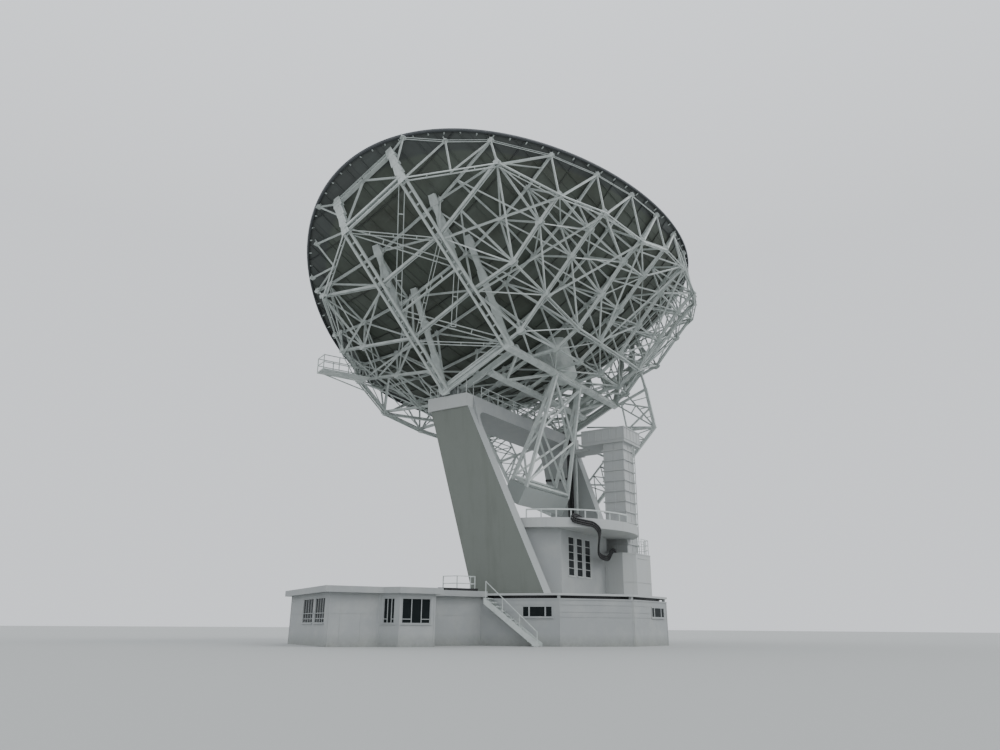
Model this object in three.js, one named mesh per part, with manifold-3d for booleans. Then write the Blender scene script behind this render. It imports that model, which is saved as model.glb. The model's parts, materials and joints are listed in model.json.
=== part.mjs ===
// Large steerable radio telescope: an elliptical bowl on a lattice backing frame, carried between two
// leaning concrete towers that turn on a ten-sided base building with a single-storey annex.
// Millimetres, +Z up. Origin: the azimuth axis at ground level. +X lies along the elevation axis,
// +Y is the way the bowl faces. The bowl is drawn in its own frame: x across, y towards its lower
// edge, w along the beam, with its vertex at the origin.

import * as THREE from "three";
import { mergeVertices } from "three/addons/utils/BufferGeometryUtils.js";
import Module from "manifold-3d";

const wasm = await Module();
wasm.setup();

// Driving dimensions
const GAP = 0.3; // between pieces that touch
const HALF_X = 19050; // aperture half-width across
const HALF_Y = 12700; // aperture half-height
const CENTRE_Y = 400; // middle of the aperture, in front of the vertex
const FOCAL = 12190; // focal length
const SKIN = 60; // reflector sheet with its backing ribs
const ELEVATION = 64.2; // beam above the horizon at rest, degrees
const AXIS = { y: 3300, z: 16350 }; // elevation axis
const AXIS_IN_BOWL = { y: 5400, w: -2660 }; // the same axis in the bowl's frame
const REAR_W = -2700; // rear plane of the middle of the backing frame
const RIB_X = [1640, 4920, 8200, 11480, 14760]; // planes of the ribs, each side
const END_X = 18100; // planes of the end frames
const INNER_GIRDER_X = 6880;

const DRUM_SIDES = 10;
const DRUM_R = 7800; // to the corners
const DRUM_TURN = -2.5; // degrees from +X to the first corner
const DRUM_WALL = 300;
const DRUM_WALL_TOP = 2670;
const DECK_TOP = 2960;
const DECK_R = 7270;

const TOWER = {
  bottom: DECK_TOP + GAP,
  shoulder: 14950, // where the leaning shaft meets the upright cap
  top: 15850,
  thick: 900,
  outerBottom: 6500,
  outerTop: 7895,
  rearBottom: -3300,
  rearTop: 1600,
  frontBottom: 1900,
  frontTop: 4650,
};
const CAP = { inner: 7050, outer: 8000, rear: 1600, front: 4850 };

const PALE = material(0xdcdedb, 0.75);
const SHADED = material(0xc9ccc8, 0.8);
const STEEL = material(0xc4c9c8, 0.55);
const SKIN_BACK = material(0x5c6357, 0.7);
const DARK = material(0x23272a, 0.5);
const GLASS = material(0x2c3438, 0.15);

function material(color, roughness) {
  return new THREE.MeshStandardMaterial({ color, roughness, metalness: 0.1 });
}

const radians = THREE.MathUtils.degToRad;
const v3 = (x, y, z) => new THREE.Vector3(x, y, z);
const X_AXIS = v3(1, 0, 0);
const Z_AXIS = v3(0, 0, 1);

// Solids
function solid(geometry) {
  const bare = geometry.index ? geometry.toNonIndexed() : geometry.clone();
  bare.deleteAttribute("normal");
  bare.deleteAttribute("uv");
  const merged = mergeVertices(bare, 1e-3);
  return new wasm.Manifold(
    new wasm.Mesh({
      numProp: 3,
      vertProperties: new Float32Array(merged.attributes.position.array),
      triVerts: new Uint32Array(merged.index.array),
    }),
  );
}

function geometryOf(made) {
  const mesh = made.getMesh();
  const geometry = new THREE.BufferGeometry();
  const positions = new Float32Array(mesh.vertProperties);
  geometry.setAttribute("position", new THREE.BufferAttribute(positions, 3));
  geometry.setIndex(new THREE.BufferAttribute(new Uint32Array(mesh.triVerts), 1));
  return geometry;
}

// Joins geometries and members. A member is a function that gives its geometry, grown by a margin.
const union = (items, grow = 0) =>
  wasm.Manifold.union(items.map((item) => solid(item.isBufferGeometry ? item : item(grow))));

// A solid swollen by the gap, as a tool for cutting whatever rests against it.
function swollen(made) {
  const both = [-GAP, GAP];
  const shifts = both.flatMap((x) => both.flatMap((y) => both.map((z) => [x, y, z])));
  return wasm.Manifold.union(shifts.map((shift) => made.translate(shift)));
}

// Cuts every tool away and keeps the largest body that is left.
function carve(made, tools = []) {
  let left = made;
  for (const tool of tools) left = left.subtract(tool);
  const bodies = left.asOriginal().simplify(0.02).decompose();
  bodies.sort((a, b) => b.volume() - a.volume());
  return bodies[0];
}

function box(x, y, z) {
  const geometry = new THREE.BoxGeometry(x[1] - x[0], y[1] - y[0], z[1] - z[0]);
  return geometry.translate((x[0] + x[1]) / 2, (y[0] + y[1]) / 2, (z[0] + z[1]) / 2);
}

// An upright prism over a plan outline.
function prism(outline, bottom, top) {
  const shape = new THREE.Shape(outline.map(([x, y]) => new THREE.Vector2(x, y)));
  const geometry = new THREE.ExtrudeGeometry(shape, { depth: top - bottom, bevelEnabled: false });
  return geometry.translate(0, 0, bottom);
}

function cylinder(radius, bottom, top, sides = 48, topRadius = radius) {
  const geometry = new THREE.CylinderGeometry(topRadius, radius, top - bottom, sides);
  return geometry.rotateX(Math.PI / 2).translate(0, 0, (bottom + top) / 2);
}

// A rod along X.
function rodX(radius, from, to, y, z, sides = 24) {
  const geometry = new THREE.CylinderGeometry(radius, radius, to - from, sides);
  return geometry.rotateZ(-Math.PI / 2).translate((from + to) / 2, y, z);
}

// A block with eight given corners: four below and four above, both anticlockwise from above.
function block(bottom, top) {
  const corners = [...bottom, ...top];
  const faces = [
    [0, 3, 2, 1], [4, 5, 6, 7], [0, 1, 5, 4], [1, 2, 6, 5], [2, 3, 7, 6], [3, 0, 4, 7],
  ];
  const positions = [];
  for (const [a, b, c, d] of faces)
    for (const i of [a, b, c, a, c, d]) positions.push(...corners[i]);
  const geometry = new THREE.BufferGeometry();
  geometry.setAttribute("position", new THREE.Float32BufferAttribute(positions, 3));
  return geometry;
}

// A straight member between two joints, its flat side square to `across`.
function bar(from, to, width, depth = width, across = X_AXIS, reach = width * 0.4) {
  const along = to.clone().sub(from);
  const length = along.length() + 2 * reach;
  along.normalize();
  const side = across.clone().addScaledVector(along, -across.dot(along)).normalize();
  const turn = new THREE.Matrix4().makeBasis(along, side, along.clone().cross(side));
  const middle = from.clone().add(to).multiplyScalar(0.5);
  return (grow) => {
    const [long, wide, deep] = [length, width, depth].map((size) => size + 2 * grow);
    const geometry = new THREE.BoxGeometry(long, wide, deep).applyMatrix4(turn);
    return geometry.translate(middle.x, middle.y, middle.z);
  };
}

function path(points, width, depth = width, across = X_AXIS) {
  return points.slice(1).map((p, i) => bar(points[i], p, width, depth, across));
}

// The whole model: fixed base, turntable and bowl
const telescope = new THREE.Group();
const bowl = new THREE.Group();
const bowlTilt = -radians(90 - ELEVATION);
bowl.rotation.x = bowlTilt;
bowl.position.set(
  0,
  AXIS.y - AXIS_IN_BOWL.y * Math.cos(bowlTilt) + AXIS_IN_BOWL.w * Math.sin(bowlTilt),
  AXIS.z - AXIS_IN_BOWL.y * Math.sin(bowlTilt) - AXIS_IN_BOWL.w * Math.cos(bowlTilt),
);
telescope.add(bowl);

function add(parent, name, geometry, look) {
  const shape = geometry.isBufferGeometry ? geometry : geometryOf(geometry);
  const mesh = new THREE.Mesh(shape, look);
  mesh.name = name;
  parent.add(mesh);
}

// Base building
const drumCorner = (index, radius, z) => {
  const angle = radians(DRUM_TURN + (360 / DRUM_SIDES) * index);
  return z === undefined
    ? [radius * Math.cos(angle), radius * Math.sin(angle)]
    : v3(radius * Math.cos(angle), radius * Math.sin(angle), z);
};
const drumOutline = (radius) =>
  Array.from({ length: DRUM_SIDES }, (_, i) => drumCorner(i, radius));
const APOTHEM = Math.cos(Math.PI / DRUM_SIDES);
const drumInner = DRUM_R - DRUM_WALL / APOTHEM;

// Moves a shape drawn with x outwards from the middle of a drum side and y along it.
function placeOnSide(geometry, index) {
  geometry.translate(DRUM_R * APOTHEM, 0, 0);
  return geometry.rotateZ(radians(DRUM_TURN + (360 / DRUM_SIDES) * (index + 0.5)));
}

const onDrumSide = (index, s, t, z) => placeOnSide(box(t, s, z), index);

const DRUM_WINDOWS = { 5: [170, 2020], 7: [50, 1900] }; // side: [from, to] along it
const DRUM_SILL = { 5: 1645, 7: 1650 };
const DRUM_WINDOW_HEIGHT = { 5: 450, 7: 550 };
const drumWindow = (side, inset) => {
  const sill = DRUM_SILL[side];
  return [sill + inset, sill + DRUM_WINDOW_HEIGHT[side] - inset];
};

// Two neighbouring sides of the drum in one piece, ending just short of its corners.
function drumWall(first) {
  const corner = (step, radius) => {
    const [here, middle] = [step, 1].map((n) => new THREE.Vector2(...drumCorner(first + n, radius)));
    return step === 1 ? here : here.add(middle.sub(here).setLength(GAP));
  };
  const outline = [0, 1, 2].map((step) => corner(step, DRUM_R));
  outline.push(...[2, 1, 0].map((step) => corner(step, drumInner)));
  const wall = solid(prism(outline.map((c) => [c.x, c.y]), 0, DRUM_WALL_TOP));
  const holes = Object.entries(DRUM_WINDOWS).map(([side, span]) =>
    solid(onDrumSide(Number(side), span, [-2 * DRUM_WALL, 100], drumWindow(side, 0))),
  );
  return carve(wall, holes);
}

const FLOOR_TOP = 150;
const SLAB_R = drumInner - 1;
add(telescope, "foundation_slab", prism(drumOutline(SLAB_R), 0, FLOOR_TOP), SHADED);
for (let i = 0; i < DRUM_SIDES; i += 2) add(telescope, `drum_wall_${i / 2 + 1}`, drumWall(i), PALE);

// The beam under the azimuth rail, carried inside the walls
const RAIL = { inner: 6300, outer: 6700, top: DECK_TOP - 260 - 100 };
const railBeam = solid(prism(drumOutline(drumInner - 1), RAIL.top - 500, RAIL.top - 100))
  .add(solid(cylinder(RAIL.outer, RAIL.top - 101, RAIL.top)))
  .subtract(solid(cylinder(RAIL.inner, RAIL.top - 600, RAIL.top + 1)));
add(telescope, "azimuth_rail_beam", railBeam, SHADED);

// Coping: a flat ring above a dark slot, on short posts at the drum's corners
const COPING = { bottom: 2840, inner: DECK_R + 50, outer: DRUM_R + 60 };
const copingPosts = Array.from({ length: DRUM_SIDES }, (_, i) => {
  const post = box([-150, 40], [-90, 90], [DRUM_WALL_TOP + GAP, COPING.bottom + 20]);
  post.translate(DRUM_R - 130, 0, 0);
  return solid(post.rotateZ(radians(DRUM_TURN + (360 / DRUM_SIDES) * i)));
});
const coping = wasm.Manifold.union([
  solid(prism(drumOutline(COPING.outer), COPING.bottom, DECK_TOP)),
  ...copingPosts,
]).subtract(solid(cylinder(COPING.inner, COPING.bottom - 500, DECK_TOP + 1, 80)));
add(telescope, "drum_coping", coping, PALE);

// Glass in the drum's windows
for (const [side, span] of Object.entries(DRUM_WINDOWS)) {
  const pane = onDrumSide(
    Number(side),
    [span[0] + GAP, span[1] - GAP],
    [-140, -110],
    drumWindow(side, GAP),
  );
  add(telescope, side === "5" ? "drum_glass_left" : "drum_glass_right", pane, GLASS);
}

// Straight stair against drum side 5, climbing towards corner 5
const STAIR = { width: 850, treads: 12, rise: 235, going: 260, top: DECK_TOP - 60, side: 5 };
const stairFace = GAP;
const stairRun = STAIR.treads * STAIR.going;
const stairTopS = -1900;
const stair = [];
for (let i = 0; i < STAIR.treads; i++) {
  const z = STAIR.top - (i + 1) * STAIR.rise;
  const s = stairTopS + i * STAIR.going;
  stair.push(onDrumSide(STAIR.side, [s, s + STAIR.going + 30], [stairFace + 60, STAIR.width], [z - 50, z]));
}
const stringer = (t) => {
  const foot = stairTopS + stairRun;
  const drop = 330;
  const outline = [
    [stairTopS - 60, STAIR.top - STAIR.rise + 60], [stairTopS - 60, STAIR.top - STAIR.rise - drop],
    [foot - 100, 0], [foot + 160, 0], [foot + 160, STAIR.rise - 60],
  ];
  const shape = new THREE.Shape(outline.map(([x, y]) => new THREE.Vector2(x, y)));
  const geometry = new THREE.ExtrudeGeometry(shape, { depth: 60, bevelEnabled: false });
  // The shape's x runs along the side and its y upwards.
  geometry.rotateX(Math.PI / 2).rotateZ(Math.PI / 2).translate(t, 0, 0);
  return placeOnSide(geometry, STAIR.side);
};
stair.push(stringer(stairFace), stringer(STAIR.width - 60));

const sidePoint = (index, s, t, z) => {
  const turn = radians(DRUM_TURN + (360 / DRUM_SIDES) * (index + 0.5));
  return v3(DRUM_R * APOTHEM + t, s, z).applyAxisAngle(Z_AXIS, turn);
};
const RAIL_HEIGHT = 950;
const handrailT = STAIR.width - 30;
const handrail = [0, 4, 8, 12].map((step) => {
  const s = stairTopS + step * STAIR.going + 60;
  const z = STAIR.top - (step + 1) * STAIR.rise;
  const foot = sidePoint(STAIR.side, s, handrailT, Math.max(z - 100, 1));
  return bar(foot, sidePoint(STAIR.side, s, handrailT, z + RAIL_HEIGHT), 40, 40, X_AXIS, 0);
});
const railEnd = (step) =>
  sidePoint(
    STAIR.side,
    stairTopS + step * STAIR.going + 60,
    handrailT,
    STAIR.top - (step + 1) * STAIR.rise + RAIL_HEIGHT,
  );
handrail.push(bar(railEnd(0), railEnd(12), 45, 45, Z_AXIS, 20));
add(telescope, "access_stair", carve(union([...stair, ...handrail])), PALE);

// Annex: s along its front wall from the far corner, t back from it
const ANNEX = {
  corner: { x: -17000, y: 3700 },
  turn: Math.atan2(-0.468, 0.884),
  length: 5720,
  depth: 8000,
  wall: 250,
  wallTop: 2750,
  roofTop: 3080,
  overhang: 350,
  bay: { from: 2800, front: 3600, out: 900 },
  link: { front: 1340, rear: 6130 },
};
const WINDOW = { sill: 1180, head: 2520 };

function placeAnnex(geometry) {
  geometry.rotateZ(ANNEX.turn);
  return geometry.translate(ANNEX.corner.x, ANNEX.corner.y, 0);
}

// A straight wall between two points of the annex plan, its thickness to the left of the way it runs.
function annexWall(from, to, holes = [], thick = ANNEX.wall, heights = [0, ANNEX.wallTop]) {
  const [dx, dy] = [to[0] - from[0], to[1] - from[1]];
  const length = Math.hypot(dx, dy);
  const place = (geometry) => {
    geometry.rotateZ(Math.atan2(dy, dx)).translate(from[0], from[1], 0);
    return solid(placeAnnex(geometry));
  };
  const wall = place(box([0, length], [0, thick], heights));
  const cuts = holes.map((h) => place(box([h[0], h[1]], [-50, thick + 50], [WINDOW.sill, WINDOW.head])));
  return cuts.reduce((left, cut) => left.subtract(cut), wall);
}

const { length: AL, depth: AD, wall: AW, bay: BAY, link: LINK } = ANNEX;
const drumClear = solid(prism(drumOutline(DRUM_R + GAP), -10, DRUM_WALL_TOP + 500));
const linkEnd = 10500;

const annexFront = annexWall([0, 0], [BAY.from + 20, 0])
  .add(annexWall([BAY.from, 0], [BAY.front, -BAY.out], [[230, 930]]))
  .add(annexWall([BAY.front, -BAY.out], [AL, -BAY.out], [[150, 1850]]))
  .add(annexWall([AL, -BAY.out], [AL, LINK.front]))
  .add(annexWall([AL - AW, LINK.front], [linkEnd, LINK.front]));
add(telescope, "annex_front_wall", carve(annexFront, [drumClear]), PALE);

const endHoles = [[800, 2650], [3050, 5150]].map(([a, b]) => [AD - b, AD - a]);
const annexRear = annexWall([0, AD], [0, AW + GAP], endHoles)
  .add(annexWall([AL, AD], [0, AD]))
  .add(annexWall([AL, LINK.rear], [AL, AD]))
  .add(annexWall([linkEnd, LINK.rear], [AL - AW, LINK.rear]));
add(telescope, "annex_rear_wall", carve(annexRear, [drumClear]), PALE);

// Annex outline in plan, for the floor and the roof
const annexOutline = (out, bayOut) => [
  [-out, -out], [BAY.from + 0.3 * bayOut, -out], [BAY.front - 0.3 * bayOut, -BAY.out - bayOut],
  [AL + out, -BAY.out - bayOut], [AL + out, LINK.front - out], [linkEnd, LINK.front - out],
  [linkEnd, LINK.rear + out], [AL + out, LINK.rear + out], [AL + out, AD + out], [-out, AD + out],
];
const annexInside = annexOutline(-AW - GAP, -AW - GAP);
// The link lies between two walls, so its part of the floor is drawn apart.
const annexFloor = solid(placeAnnex(prism(annexInside, 0, FLOOR_TOP)));
const annexWallsClear = [annexFront, annexRear].map(swollen);
add(telescope, "annex_floor", carve(annexFloor, [drumClear, ...annexWallsClear]), SHADED);

const roofPlan = annexOutline(ANNEX.overhang, 250);
const annexRoof = solid(placeAnnex(prism(roofPlan, ANNEX.wallTop + GAP, ANNEX.roofTop)));
const roofClear = solid(prism(drumOutline(COPING.outer + GAP), -10, ANNEX.roofTop + 10));
add(telescope, "annex_roof", carve(annexRoof, [roofClear]), PALE);

// One sheet of glass behind each group of windows
const annexPane = (from, to, s) => {
  const heights = [WINDOW.sill - 60, WINDOW.head + 60];
  const [dx, dy] = [to[0] - from[0], to[1] - from[1]];
  const pane = box(s, [AW + GAP, AW + 12], heights);
  pane.rotateZ(Math.atan2(dy, dx)).translate(from[0], from[1], 0);
  return placeAnnex(pane);
};
add(telescope, "annex_glass_bay_side", annexPane([BAY.from, 0], [BAY.front, -BAY.out], [360, 900]), GLASS);
const frontPane = annexPane([BAY.front, -BAY.out], [AL, -BAY.out], [130, 1865]);
add(telescope, "annex_glass_bay_front", frontPane, GLASS);
add(telescope, "annex_glass_end", annexPane([0, AD], [0, 0], [2800, 7250]), GLASS);

// Guard rail on the roof of the link, beside the head of the stair
const roofPoint = (s, t, z) => {
  const point = v3(s, t, 0).applyAxisAngle(Z_AXIS, ANNEX.turn);
  return v3(point.x + ANNEX.corner.x, point.y + ANNEX.corner.y, z);
};
const railPlan = [[7700, 2500], [8250, 1700], [9450, 1700], [9450, 2300]];
const roofRail = railPlan.flatMap(([s, t], i) => {
  const next = railPlan[i + 1];
  const foot = ANNEX.roofTop + GAP;
  const post = bar(roofPoint(s, t, foot), roofPoint(s, t, foot + 900), 50, 50, X_AXIS, 0);
  if (!next) return [post];
  const rails = [450, 880].map((z) =>
    bar(roofPoint(s, t, foot + z), roofPoint(...next, foot + z), 45, 45, Z_AXIS, 10),
  );
  return [post, ...rails];
});
add(telescope, "roof_railing", carve(union(roofRail)), PALE);

// Turntable deck on its rail
const deck = union([
  cylinder(DECK_R, DECK_TOP - 260, DECK_TOP, 80),
  cylinder(RAIL.outer - 20, RAIL.top + 2 * GAP, DECK_TOP - 200),
]).subtract(solid(cylinder(RAIL.inner + 20, RAIL.top - 10, DECK_TOP - 260)));
add(telescope, "turntable_deck", deck, SHADED);

// Leaning towers
const towerEdge = (bottom, top, z) =>
  bottom + ((top - bottom) * (z - TOWER.bottom)) / (TOWER.shoulder - TOWER.bottom);
const towerRear = (z) => towerEdge(TOWER.rearBottom, TOWER.rearTop, Math.min(z, TOWER.shoulder));
const towerFront = (z) => towerEdge(TOWER.frontBottom, TOWER.frontTop, Math.min(z, TOWER.shoulder));
const towerOuter = (z) => towerEdge(TOWER.outerBottom, TOWER.outerTop, z);

// The tower on the +X side, grown by the given margin.
function towerSolid(grow = 0) {
  const level = (z) => {
    const [inner, outer] = [towerOuter(z) - TOWER.thick - grow, towerOuter(z) + grow];
    const [rear, front] = [towerRear(z) - grow, towerFront(z) + grow];
    return [[inner, rear, z], [outer, rear, z], [outer, front, z], [inner, front, z]];
  };
  const cap = box(
    [CAP.inner - grow, CAP.outer + grow],
    [CAP.rear - grow, CAP.front + grow],
    [TOWER.shoulder, TOWER.top + grow],
  );
  return union([block(level(TOWER.bottom), level(TOWER.shoulder + 100)), cap]);
}
const mirrored = (made) => made.mirror([1, 0, 0]);
const towerClear = towerSolid(GAP);
const towersClear = towerClear.add(mirrored(towerClear));
add(telescope, "tower_right", towerSolid(), PALE);
add(telescope, "tower_left", mirrored(towerSolid()), PALE);

// Portal beam between the towers, its soffit rounded into them, leaning as they do
const PORTAL = { round: 1250, soffit: 14950 };
function portalBeam() {
  const reach = CAP.inner + 200;
  const shape = new THREE.Shape();
  const inner = (z) => towerOuter(z) - TOWER.thick;
  const spring = PORTAL.soffit - PORTAL.round;
  const corner = inner(PORTAL.soffit);
  shape.moveTo(-reach, TOWER.top);
  shape.lineTo(-reach, spring - 300);
  shape.lineTo(-inner(spring - 300), spring - 300);
  shape.quadraticCurveTo(-corner, PORTAL.soffit, -corner + PORTAL.round, PORTAL.soffit);
  shape.lineTo(corner - PORTAL.round, PORTAL.soffit);
  shape.quadraticCurveTo(corner, PORTAL.soffit, inner(spring - 300), spring - 300);
  shape.lineTo(reach, spring - 300);
  shape.lineTo(reach, TOWER.top);
  shape.closePath();
  const geometry = new THREE.ExtrudeGeometry(shape, { depth: 1, bevelEnabled: false, curveSegments: 6 });
  geometry.rotateX(Math.PI / 2);
  const at = geometry.attributes.position;
  for (let i = 0; i < at.count; i++) {
    const z = at.getZ(i);
    at.setY(i, at.getY(i) < -0.5 ? towerRear(z) : z > PORTAL.soffit - 1 ? CAP.front : towerFront(z));
  }
  return solid(geometry);
}
add(telescope, "portal_beam", carve(portalBeam(), [towersClear]), PALE);

// Handrail along the rear edge of the portal beam
const PORTAL_RAIL = { y: CAP.rear + 60, half: 6200, height: 850, posts: 7 };
const portalRailPoint = (x, z) => v3(x, PORTAL_RAIL.y, z);
const portalRail = [0.5, 1].map((k) => {
  const z = TOWER.top + GAP + k * PORTAL_RAIL.height;
  return bar(portalRailPoint(-PORTAL_RAIL.half, z), portalRailPoint(PORTAL_RAIL.half, z), 45, 45, Z_AXIS);
});
for (let i = 0; i < PORTAL_RAIL.posts; i++) {
  const x = PORTAL_RAIL.half * ((2 * i) / (PORTAL_RAIL.posts - 1) - 1);
  const foot = portalRailPoint(x, TOWER.top + GAP);
  portalRail.push(bar(foot, portalRailPoint(x, TOWER.top + PORTAL_RAIL.height), 50, 50, X_AXIS, 0));
}
add(telescope, "portal_handrail", carve(union(portalRail)), PALE);

// Bearing blocks on the tower caps
const BEARING = { from: CAP.inner + 50, to: CAP.outer - 50, half: 650, above: 420, pin: 260, bore: 260.7 };
const bearing = solid(
  block(
    [[BEARING.from, AXIS.y - BEARING.half], [BEARING.to, AXIS.y - BEARING.half],
      [BEARING.to, AXIS.y + BEARING.half], [BEARING.from, AXIS.y + BEARING.half]]
      .map(([x, y]) => [x, y, TOWER.top + GAP]),
    [[BEARING.from, AXIS.y - 380], [BEARING.to, AXIS.y - 380],
      [BEARING.to, AXIS.y + 380], [BEARING.from, AXIS.y + 380]]
      .map(([x, y]) => [x, y, AXIS.z + BEARING.above]),
  ),
).subtract(solid(rodX(BEARING.bore, BEARING.from - 10, BEARING.to + 10, AXIS.y, AXIS.z, 64)));
add(telescope, "bearing_right", bearing, DARK);
add(telescope, "bearing_left", mirrored(bearing), DARK);

// Room between the towers, under the balcony slab
const ROOM = {
  top: 7000,
  wall: 250,
  rear: -3300,
  front: 1750,
  side: 4300, // half-width of the flat rear wall
  slabTop: 7600,
  slabR: 6150,
  sill: 4150,
  head: 6600,
};
const ACCESS = { left: 2000, right: 5800, rear: -5300, front: -2200, bottom: DECK_TOP + GAP, top: 5950 };
const SHAFT = { left: 3600, right: 5400, rear: -4300, front: -2700, top: 14100 };
const towerInnerBottom = TOWER.outerBottom - TOWER.thick;
const accessPlan = [
  [ACCESS.left, ACCESS.front], [ACCESS.left, ACCESS.rear + 700], [ACCESS.left + 700, ACCESS.rear],
  [ACCESS.right - 600, ACCESS.rear], [ACCESS.right, ACCESS.rear + 600],
  [ACCESS.right, TOWER.rearBottom - 60], [towerInnerBottom - 60, TOWER.rearBottom - 60],
  [towerInnerBottom - 60, ACCESS.front],
];
const accessBox = solid(prism(accessPlan, ACCESS.bottom, ACCESS.top));
add(telescope, "access_box", accessBox, PALE);
const accessClear = solid(
  box([ACCESS.left - GAP, 6500], [ACCESS.rear - 10, ACCESS.front + GAP], [0, ACCESS.top + GAP]),
);
const shaftClear = solid(
  box(
    [SHAFT.left - 150 - GAP, SHAFT.right + 150 + GAP],
    [SHAFT.rear - 150, SHAFT.front + 150 + GAP],
    [ACCESS.top - 10, SHAFT.top],
  ),
);

function roomWall(points) {
  const heights = [DECK_TOP + GAP, ROOM.top];
  const strips = points.slice(1).map((to, i) => {
    const [x, y] = points[i];
    const length = Math.hypot(to[0] - x, to[1] - y);
    const wall = box([0, length], [0, ROOM.wall], heights);
    return wall.rotateZ(Math.atan2(to[1] - y, to[0] - x)).translate(x, y, 0);
  });
  return union(strips);
}
const roomWindows = [-3360, -2200, -1040].map((x) => [x, x + 800]);
const roomHoles = (y) =>
  roomWindows.map((x) => solid(box(x, [y - 400, y + 400], [ROOM.sill, ROOM.head])));
const rearPlan = [[-towerInnerBottom - 400, -900], [-ROOM.side, ROOM.rear], [ACCESS.left + 300, ROOM.rear]];
const roomRear = carve(roomWall(rearPlan), [towersClear, accessClear, ...roomHoles(ROOM.rear)]);
add(telescope, "room_rear_wall", roomRear, PALE);
const frontPlan = [[towerInnerBottom + 500, ROOM.front], [-towerInnerBottom - 500, ROOM.front]];
const sideWall = box(
  [towerInnerBottom - 400, towerInnerBottom - 150],
  [ACCESS.front + GAP, ROOM.front - 10],
  [DECK_TOP + GAP, ROOM.top],
);
const roomFront = roomWall(frontPlan).add(solid(sideWall));
add(telescope, "room_front_wall", carve(roomFront, [towersClear, ...roomHoles(ROOM.front)]), PALE);
const roomPane = (y) => box([-3420, -180], [y, y + 12], [ROOM.sill - 60, ROOM.head + 60]);
add(telescope, "room_glass_rear", roomPane(ROOM.rear + ROOM.wall + GAP), GLASS);
add(telescope, "room_glass_front", roomPane(ROOM.front - ROOM.wall - GAP - 12), GLASS);

const balcony = solid(cylinder(ROOM.slabR, ROOM.top + GAP, ROOM.slabTop, 64));
add(telescope, "balcony_slab", carve(balcony, [towersClear, shaftClear]), PALE);

// Low rail round the rear of the balcony
const BALCONY_RAIL = { r: ROOM.slabR - 120, from: 196, to: 268, steps: 8, height: 520 };
const balconyPoint = (i, z) => {
  const { from, to, steps } = BALCONY_RAIL;
  const angle = radians(from + ((to - from) * i) / steps);
  return v3(BALCONY_RAIL.r * Math.cos(angle), BALCONY_RAIL.r * Math.sin(angle), z);
};
const balconyRail = [];
for (let i = 0; i <= BALCONY_RAIL.steps; i++) {
  const [low, high] = [ROOM.slabTop + GAP, ROOM.slabTop + BALCONY_RAIL.height];
  balconyRail.push(bar(balconyPoint(i, low), balconyPoint(i, high), 60, 60, X_AXIS, 0));
  if (i < BALCONY_RAIL.steps)
    balconyRail.push(bar(balconyPoint(i, high), balconyPoint(i + 1, high), 90, 60, Z_AXIS, 20));
}
add(telescope, "balcony_railing", carve(union(balconyRail), [towersClear]), PALE);

// Ribbed access shaft with its top platform
const shaft = [box([SHAFT.left, SHAFT.right], [SHAFT.rear, SHAFT.front], [ACCESS.top + GAP, SHAFT.top])];
const SHAFT_RIBS = 10;
for (let i = 1; i <= SHAFT_RIBS; i++) {
  const z = ACCESS.top + ((SHAFT.top - ACCESS.top - 300) * i) / (SHAFT_RIBS + 0.3);
  shaft.push(
    box([SHAFT.left - 90, SHAFT.right + 90], [SHAFT.rear - 90, SHAFT.front + 90], [z - 45, z + 45]),
  );
}
add(telescope, "access_shaft", carve(union(shaft)), PALE);

const PLATFORM = {
  left: 3400,
  right: 6300,
  rear: -4500,
  front: -1000,
  bottom: SHAFT.top + GAP,
  floor: 14350,
  parapet: 15250,
  wall: 80,
};
const slabRise = [PLATFORM.bottom, PLATFORM.floor];
const parapetRise = [PLATFORM.floor - 10, PLATFORM.parapet];
const platformDepth = [PLATFORM.rear, PLATFORM.front];
const platform = union([
  box([PLATFORM.left, PLATFORM.right], platformDepth, slabRise),
  box([PLATFORM.left, PLATFORM.left + PLATFORM.wall], platformDepth, parapetRise),
  box([PLATFORM.left, PLATFORM.right], [PLATFORM.rear, PLATFORM.rear + PLATFORM.wall], parapetRise),
  box([PLATFORM.right - PLATFORM.wall, PLATFORM.right], platformDepth, parapetRise),
  // Walkway on to the right tower
  box([5000, 6600], [PLATFORM.front - 10, 1800], slabRise),
  box([6590, 7000], [500, 1800], slabRise),
]);
const beamClear = swollen(portalBeam());
// Cables and their post pass through a slot in the walkway.
const cableSlot = solid(box([5450, 6150], [700, 1900], [PLATFORM.bottom - 10, PLATFORM.floor + 10]));
add(telescope, "access_platform", carve(platform, [towersClear, beamClear, cableSlot]), PALE);

// Cables from the portal beam down to the balcony
const CABLE = { x: 5750, y: 1250, r: 230, top: 15400 };
function roundedPath(points, radius) {
  const curve = new THREE.CurvePath();
  let last = points[0];
  points.slice(1, -1).forEach((corner, i) => {
    const toward = (other) => {
      const reach = Math.min(radius, corner.distanceTo(other) / 2);
      return corner.clone().add(other.clone().sub(corner).setLength(reach));
    };
    const [enter, leave] = [toward(points[i]), toward(points[i + 2])];
    curve.add(new THREE.LineCurve3(last, enter));
    curve.add(new THREE.QuadraticBezierCurve3(enter, corner, leave));
    last = leave;
  });
  curve.add(new THREE.LineCurve3(last, points.at(-1)));
  return curve;
}
const cableRoute = roundedPath(
  [
    v3(CABLE.x, CAP.rear - GAP, CABLE.top), v3(CABLE.x, CABLE.y, CABLE.top),
    v3(CABLE.x, CABLE.y, ROOM.slabTop + GAP),
  ],
  500,
);
const cableSection = new THREE.Shape();
cableSection.absellipse(0, 0, CABLE.r, CABLE.r, 0, 2 * Math.PI);
const cableTube = new THREE.ExtrudeGeometry(cableSection, {
  extrudePath: cableRoute,
  steps: 12,
  curveSegments: 4,
  bevelEnabled: false,
});
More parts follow.
